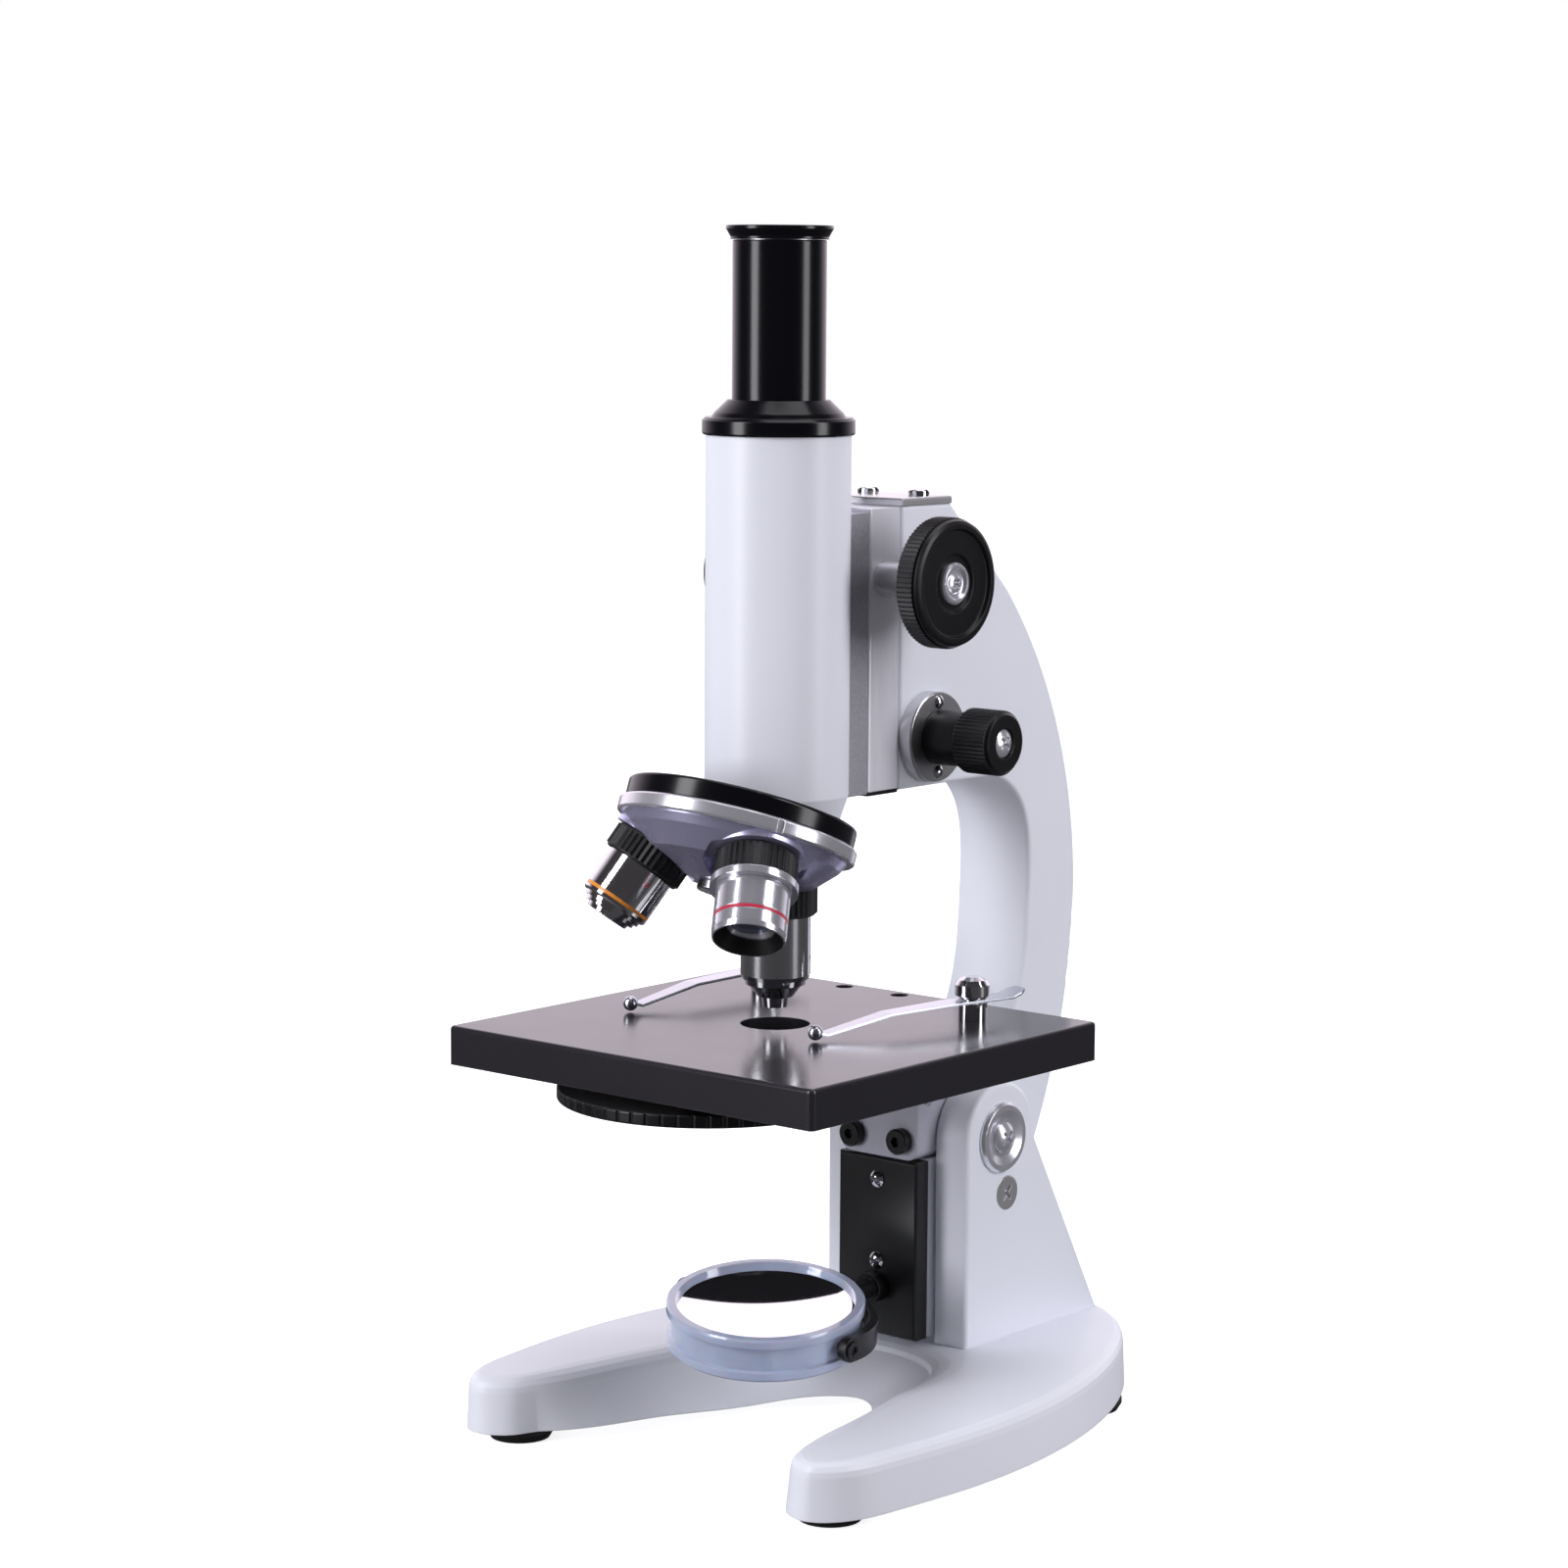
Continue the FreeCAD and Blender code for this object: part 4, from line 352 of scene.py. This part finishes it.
def lens_glass():
    material, tree, shader, place = blank("coated_glass")
    tree.links.new(spread(tree, noise(tree, place, 400.0), 0.01, 0.05), shader.inputs["Roughness"])
    cloud = noise(tree, place, 120.0)
    tree.links.new(tinted(tree, cloud, (0.55, 0.6, 0.85), (0.75, 0.8, 0.95)), shader.inputs["Base Color"])
    shader.inputs["Transmission Weight"].default_value = 0.85
    shader.inputs["IOR"].default_value = 1.52
    return material


def silvered():
    material, tree, shader, place = blank("silvered_glass")
    dust = noise(tree, place, 1800.0, detail=3.0, roughness=0.7)
    tree.links.new(spread(tree, dust, 0.01, 0.05), shader.inputs["Roughness"])
    tree.links.new(tinted(tree, dust, (0.90, 0.91, 0.92), (0.95, 0.96, 0.97)), shader.inputs["Base Color"])
    shader.inputs["Metallic"].default_value = 1.0
    return material


def milky_plastic():
    material, tree, shader, place = blank("milky_plastic")
    cloud = noise(tree, place, 60.0, detail=3.0)
    tree.links.new(tinted(tree, cloud, (0.50, 0.58, 0.80), (0.66, 0.73, 0.92)), shader.inputs["Base Color"])
    tree.links.new(spread(tree, cloud, 0.16, 0.26), shader.inputs["Roughness"])
    rim = placed_group(tree, EDGES, place, Radius=0.3 * MM)
    give_height(tree, shader, noise(tree, place, 500.0), 6 * MICRON, rim.outputs["Normal"])
    shader.inputs["Transmission Weight"].default_value = 0.3
    shader.inputs["Coat Weight"].default_value = 1.0
    shader.inputs["Coat Roughness"].default_value = 0.05
    shader.inputs["Subsurface Weight"].default_value = 0.3
    shader.inputs["Subsurface Scale"].default_value = 4 * MM
    return material


# Colour, then the least and most roughness. Scales are per metre.
# The last colour of a finish tints its edges: partly wear, partly a painted edge highlight, lighter on the
# dark finishes.
enamel = painted("white_enamel", (0.85, 0.865, 0.945), (0.34, 0.46), coat=0.06, edge_wear_and_highlight=(0.84, 0.84, 0.90))
bracket_grey = painted("grey_enamel", (0.46, 0.46, 0.54), (0.3, 0.42), peel=900.0, edge_wear_and_highlight=(0.62, 0.62, 0.68))
gloss_black = painted("gloss_black", (0.003, 0.003, 0.005), (0.15, 0.20), tone=0.1, peel=500.0,
                      depth=2 * MICRON, edge_wear_and_highlight=(0.02, 0.02, 0.024), shine=0.3)
orange = painted("band_orange", (0.85, 0.30, 0.04), (0.2, 0.3), tone=0.05)
red = painted("band_red", (0.55, 0.03, 0.07), (0.2, 0.3), tone=0.05)

stage_black = grained("stage_satin_black", (0.024, 0.022, 0.027), (0.15, 0.22), tone=0.35, grain=2600.0,
                      depth=3 * MICRON, edge_wear_and_highlight=(0.16, 0.145, 0.16))
knob_black = grained("knob_satin_black", (0.004, 0.004, 0.005), (0.30, 0.40), tone=0.35, grain=1800.0,
                     depth=12 * MICRON, edge_wear_and_highlight=(0.04, 0.04, 0.043), shine=0.35)
grip_black = grained("grip_matte_black", (0.006, 0.006, 0.007), (0.38, 0.5), tone=0.35, grain=1800.0,
                     depth=12 * MICRON, edge_wear_and_highlight=(0.06, 0.06, 0.064), shine=0.35)
black_steel = grained("blackened_steel", (0.007, 0.007, 0.008), (0.26, 0.36), tone=0.3, grain=1500.0,
                      depth=5 * MICRON, edge_wear_and_highlight=(0.08, 0.08, 0.09), shine=0.36)
rubber = grained("foot_rubber", (0.014, 0.014, 0.014), (0.6, 0.8), tone=0.3, grain=1200.0,
                 depth=30 * MICRON)
rough_steel = grained("slide_bare_steel", (0.58, 0.57, 0.63), (0.36, 0.5), tone=0.5, grain=1100.0,
                      depth=20 * MICRON, metal=0.5, edge_wear_and_highlight=(0.3, 0.3, 0.3))
spring_steel = grained("spring_steel", (0.66, 0.68, 0.74), (0.18, 0.28), tone=0.1, grain=900.0,
                       depth=3 * MICRON, metal=1.0)
silver_plate = grained("silver_plate", (0.80, 0.80, 0.82), (0.26, 0.36), tone=0.08, grain=1400.0,
                       depth=4 * MICRON, metal=0.85)
bowl_satin = grained("bowl_satin", (0.70, 0.68, 0.94), (0.24, 0.32), tone=0.08, grain=1600.0,
                     depth=2 * MICRON, metal=0.80)
rim_satin = grained("rim_satin", (0.80, 0.80, 0.86), (0.16, 0.26), tone=0.06, grain=1600.0,
                    depth=2 * MICRON, metal=0.72)
low_power_satin = grained("low_power_satin", (0.80, 0.80, 0.87), (0.14, 0.22), tone=0.06, grain=1600.0,
                          depth=2 * MICRON, metal=0.78)

ground_aluminium = ground_face("ground_aluminium", (0.90, 0.885, 0.97), (0.30, 0.44))
chrome = turned_metal("bright_chrome", (0.82, 0.82, 0.84), (0.05, 0.10), ring=1500.0, depth=1 * MICRON)
chrome_across = turned_metal("bright_chrome_across", (0.82, 0.82, 0.84), (0.07, 0.13), ring=2500.0,
                             depth=2 * MICRON, lay=ACROSS)
chrome_tilted = turned_metal("bright_chrome_tilted", (0.80, 0.80, 0.82), (0.17, 0.26), ring=2800.0,
                             depth=3 * MICRON, lay=(TURRET_TILT, 0, 0))
steel = turned_metal("turned_steel", (0.66, 0.66, 0.68), (0.16, 0.28), ring=3500.0,
                     depth=4 * MICRON, lay=ACROSS)
flange_metal = turned_metal("turned_aluminium", (0.70, 0.70, 0.72), (0.26, 0.38), ring=3000.0,
                            depth=6 * MICRON, lay=ACROSS)
eyepiece_metal = turned_metal("eyepiece_aluminium", (0.66, 0.66, 0.70), (0.3, 0.4), ring=3000.0,
                              depth=6 * MICRON)
glass = lens_glass()
silver = silvered()
milky = milky_plastic()

FINISHES = (
    (enamel, ("base_casting", "arm_casting", "body_tube")),
    (bracket_grey, ("stage_bracket",)),
    (stage_black, ("stage_plate",)),
    (knob_black, ("diaphragm_disc", "coarse_knob_left", "coarse_knob_right", "fine_knob")),
    (black_steel, ("mirror_plate", "mirror_fork", "bracket_screws", "block_end_plate")),
    (gloss_black, ("nosepiece_base", "draw_tube", "tube_collar", "eye_cap")),
    (grip_black, ("objective_40x_grip", "objective_10x_grip", "objective_4x_grip")),
    (rubber, ("rubber_feet",)),
    (rim_satin, ("pivot_washers", "pivot_screws", "coarse_knob_screws", "fine_knob_screw", "turret_rim")),
    (chrome, ("clip_studs", "objective_40x_barrel", "objective_10x_barrel", "plate_screws",
              "cover_screws", "diaphragm_screw")),
    (low_power_satin, ("objective_4x_barrel",)),
    (silver_plate, ("stop_screws", "pinion_bushes", "head_cover")),
    (chrome_across, ("fine_flange_screws", "bracket_side_screws")),
    (chrome_tilted, ("turret_axle",)),
    (steel, ("pivot_pin", "pinion_shaft", "fine_shaft", "fine_rail")),
    (spring_steel, ("clip_right", "clip_left")),
    (rough_steel, ("tube_slide",)),
    (ground_aluminium, ("focus_block",)),
    (flange_metal, ("fine_flange",)),
    (eyepiece_metal, ("eyepiece_barrel",)),
    (bowl_satin, ("turret_bowl",)),
    (orange, ("objective_10x_band",)),
    (red, ("objective_4x_band",)),
    (glass, ("eye_lens", "field_lens", "objective_40x_lens", "objective_10x_lens", "objective_4x_lens")),
    (silver, ("mirror_flat", "mirror_concave")),
    (milky, ("mirror_ring",)),
)


def dress(name, finish):
    """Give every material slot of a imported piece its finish."""
    data = nodes[name].data
    if not data.materials:
        data.materials.append(None)
    for index in range(len(data.materials)):
        data.materials[index] = finish


for finish, names in FINISHES:
    for name in names:
        dress(name, finish)


# --- small fittings ----------------------------------------------------------------------
def cap_screw(name, place, way, radius, height, body):
    """Small screw head with a sunk socket: its seat at the place, pointing the given way."""
    bpy.ops.object.select_all(action="DESELECT")
    bpy.ops.mesh.primitive_cylinder_add(vertices=48, radius=radius, depth=height,
                                        location=(0, 0, height / 2))
    head = bpy.context.object
    head.name = name
    bpy.ops.object.mode_set(mode="EDIT")
    bpy.ops.mesh.select_mode(type="FACE")
    bpy.ops.object.mode_set(mode="OBJECT")
    for face in head.data.polygons:
        face.select = face.normal.z > 0.9
    bpy.ops.object.mode_set(mode="EDIT")
    bpy.ops.mesh.inset(thickness=SCREW_RIM_SHARE * radius)
    sunk = (0, 0, -SCREW_SOCKET_SHARE * height)
    bpy.ops.mesh.extrude_region_move(TRANSFORM_OT_translate={"value": sunk})
    bpy.ops.object.mode_set(mode="OBJECT")
    rounding = head.modifiers.new("rounding", "BEVEL")
    rounding.width = SCREW_ROUND_SHARE * height
    rounding.segments = 3
    rounding.limit_method = "ANGLE"
    bpy.ops.object.modifier_apply(modifier="rounding")
    turn = Vector(way).to_track_quat("Z", "Y").to_matrix()
    head.matrix_world = Matrix.Translation(place) @ turn.to_4x4()
    bpy.ops.object.transform_apply(location=True, rotation=True, scale=True)
    bpy.ops.object.shade_smooth_by_angle(angle=SHADE_ANGLE)
    head.data.materials.append(black_steel)
    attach(head, body)


def guide_screws():
    """Screws under the slide and under the focus block's end plate."""
    low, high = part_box("tube_slide")
    seat = Vector(((low.x + high.x) / 2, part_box("body_tube")[1].y + SLIDE_SCREW_GAP, low.z))
    cap_screw("slide_end_screw", seat, DOWN, SLIDE_SCREW_R, SCREW_HEAD_H, "tube")
    low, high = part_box("block_end_plate")
    seat = Vector(((low.x + high.x) / 2, low.y + BLOCK_SCREW_SHARE * (high.y - low.y), low.z))
    cap_screw("block_end_screw", seat, DOWN, BLOCK_SCREW_R, SCREW_HEAD_H, "focus_block")


def fork_screws():
    """Heads of the two pivots on which the mirror turns, on the outside of the fork's ends."""
    tilt = next(joint for joint in frame["joints"] if joint["name"] == "mirror_tilt")
    centre = Vector(tilt["pos_m"])
    axis = Vector(tilt["axis"]).normalized()
    for side, way in (("right", axis), ("left", -axis)):
        seat = centre + way * FORK_REACH
        cap_screw("fork_pivot_" + side, seat, way, PIVOT_HEAD_R, PIVOT_HEAD_H, "mirror_fork")


def low_power_hood():
    """Thin black cone laid inside the wide hood of the 4x objective, which makes the hood dark inside."""
    bpy.ops.object.select_all(action="DESELECT")
    middle = -(HOOD_TIP - HOOD_DEEP / 2)
    bpy.ops.mesh.primitive_cone_add(
        vertices=96, radius1=HOOD_WIDE, radius2=HOOD_NARROW, depth=HOOD_DEEP,
        end_fill_type="NOTHING", location=(0, 0, middle))
    liner = bpy.context.object
    liner.name = "hood_liner_4x"
    bpy.ops.object.mode_set(mode="EDIT")
    bpy.ops.mesh.select_all(action="SELECT")
    bpy.ops.mesh.subdivide(number_cuts=2)
    bpy.ops.mesh.normals_make_consistent(inside=True)
    bpy.ops.object.mode_set(mode="OBJECT")
    wall = liner.modifiers.new("wall", "SOLIDIFY")
    wall.thickness = HOOD_LINING
    wall.offset = -1.0
    bpy.ops.object.modifier_apply(modifier="wall")
    tilt = Matrix.Rotation(-TURRET_TILT, 4, "X")
    spin = Matrix.Rotation(LOW_POWER_STATION, 4, "Z")
    lean = Matrix.Rotation(TURRET_TILT, 4, "X")
    low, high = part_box("draw_tube")
    crossing = Matrix.Translation(((low.x + high.x) / 2, (low.y + high.y) / 2, CROSSING_Z))
    liner.matrix_world = crossing @ tilt @ spin @ lean @ Matrix.Translation((0, 0, middle))
    bpy.ops.object.transform_apply(location=True, rotation=True, scale=True)
    bpy.ops.object.shade_smooth_by_angle(angle=SHADE_ANGLE)
    liner.data.materials.append(grip_black)
    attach(liner, "nosepiece")


guide_screws()
fork_screws()
low_power_hood()


# --- room, lights and camera -------------------------------------------------------------
def from_camera(angle):
    """Level direction from the object, turned to the camera's right of the camera's own."""
    turned = CAMERA_AZIMUTH + math.radians(angle)
    return Vector((math.sin(turned), -math.cos(turned), 0.0))


def floor():
    """Plain pale floor, bright to the camera and dim to whatever mirrors it."""
    bpy.ops.mesh.primitive_plane_add(size=FLOOR_SIZE, location=(0, 0, 0))
    ground = bpy.context.object
    ground.name = "floor"
    material, tree, shader, place = blank("pale_floor")
    tree.links.new(spread(tree, noise(tree, place, 3.0), 0.55, 0.65), shader.inputs["Roughness"])
    pale = tinted(tree, noise(tree, place, 2.0), (0.9, 0.9, 0.9), (0.93, 0.93, 0.93))
    path = add(tree, "ShaderNodeLightPath").outputs
    seen = path["Is Camera Ray"]
    tree.links.new(tinted(tree, seen, (0.025, 0.025, 0.028), pale), shader.inputs["Base Color"])
    shader.inputs["Specular IOR Level"].default_value = 0.1
    shader.inputs["Emission Color"].default_value = (1, 1, 1, 1)
    unseen = spread(tree, path["Is Glossy Ray"], FLOOR_BOUNCE, FLOOR_MIRRORED)
    tree.links.new(spread(tree, seen, unseen, FLOOR_GLOW), shader.inputs["Emission Strength"])
    ground.data.materials.append(material)


def panel(name, place, target, size, power):
    """Soft rectangular light at a place, facing the target."""
    light = bpy.data.lights.new(name, "AREA")
    light.shape = "RECTANGLE"
    light.size, light.size_y = size
    light.energy = power
    light.color = COOL
    lamp = bpy.data.objects.new(name, light)
    scene.collection.objects.link(lamp)
    lamp.location = place
    lamp.rotation_euler = (Vector(target) - Vector(place)).to_track_quat("-Z", "Y").to_euler()
    lamp.visible_camera = False


def strip(name, angle, aim, size, power):
    """Tall light to one side of the camera, aimed at a height on the object."""
    panel(name, from_camera(angle) * STRIP_DISTANCE + STRIP_HEIGHT, (0, 0, aim), size, power)


def room_light():
    """White room, dim on the camera's side, faintly rosy in mirrored light and plain white when seen."""
    world = bpy.data.worlds.new("room")
    world.use_nodes = True
    tree = world.node_tree
    room = tree.nodes["Background"]
    direction = add(tree, "ShaderNodeTexCoord").outputs["Generated"]
    along = add(tree, "ShaderNodeVectorMath", operation="DOT_PRODUCT")
    along.inputs[1].default_value = from_camera(180.0)
    tree.links.new(direction, along.inputs[0])
    grade = add(tree, "ShaderNodeMapRange", interpolation_type="SMOOTHSTEP")
    grade.inputs["From Min"].default_value = 0.25
    grade.inputs["From Max"].default_value = 0.85
    path = add(tree, "ShaderNodeLightPath").outputs
    tree.links.new(spread(tree, path["Is Glossy Ray"], ROOM_DARK, ROOM_MIRRORED), grade.inputs["To Min"])
    grade.inputs["To Max"].default_value = ROOM_BRIGHT
    tree.links.new(along.outputs["Value"], grade.inputs["Value"])
    tree.links.new(grade.outputs["Result"], room.inputs["Strength"])
    cool, rosy = (0.97, 0.98, 1.0), (1.06, 0.95, 1.06)
    tree.links.new(tinted(tree, path["Is Glossy Ray"], cool, rosy), room.inputs["Color"])
    seen = add(tree, "ShaderNodeBackground")
    seen.inputs["Color"].default_value = (1, 1, 1, 1)
    mix = add(tree, "ShaderNodeMixShader")
    tree.links.new(path["Is Camera Ray"], mix.inputs["Fac"])
    tree.links.new(room.outputs["Background"], mix.inputs[1])
    tree.links.new(seen.outputs["Background"], mix.inputs[2])
    tree.links.new(mix.outputs["Shader"], tree.nodes["World Output"].inputs["Surface"])
    scene.world = world
    scene.view_settings.view_transform = "Standard"


def camera():
    lens = bpy.data.cameras.new("camera")
    lens.sensor_width = SENSOR_WIDTH
    lens.lens = FOCAL_LENGTH
    eye = bpy.data.objects.new("camera", lens)
    scene.collection.objects.link(eye)
    out = from_camera(0.0) * math.cos(CAMERA_PITCH) + Vector((0, 0, math.sin(CAMERA_PITCH)))
    turn = out.to_track_quat("Z", "Y").to_matrix() @ Matrix.Rotation(CAMERA_ROLL, 3, "Z")
    low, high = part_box("draw_tube")
    middle = (low + high) / 2
    eye.matrix_world = Matrix.Translation(Vector((middle.x, middle.y, 0)) + CAMERA_PLACE) @ turn.to_4x4()
    scene.camera = eye


floor()
room_light()
strip("left_strip", LEFT_ANGLE, LEFT_AIM, LEFT_SIZE, LEFT_POWER)
strip("right_strip", RIGHT_ANGLE, RIGHT_AIM, RIGHT_SIZE, RIGHT_POWER)
panel("overhead", OVERHEAD_PLACE, OVERHEAD_AIM, OVERHEAD_SIZE, OVERHEAD_POWER)
camera()
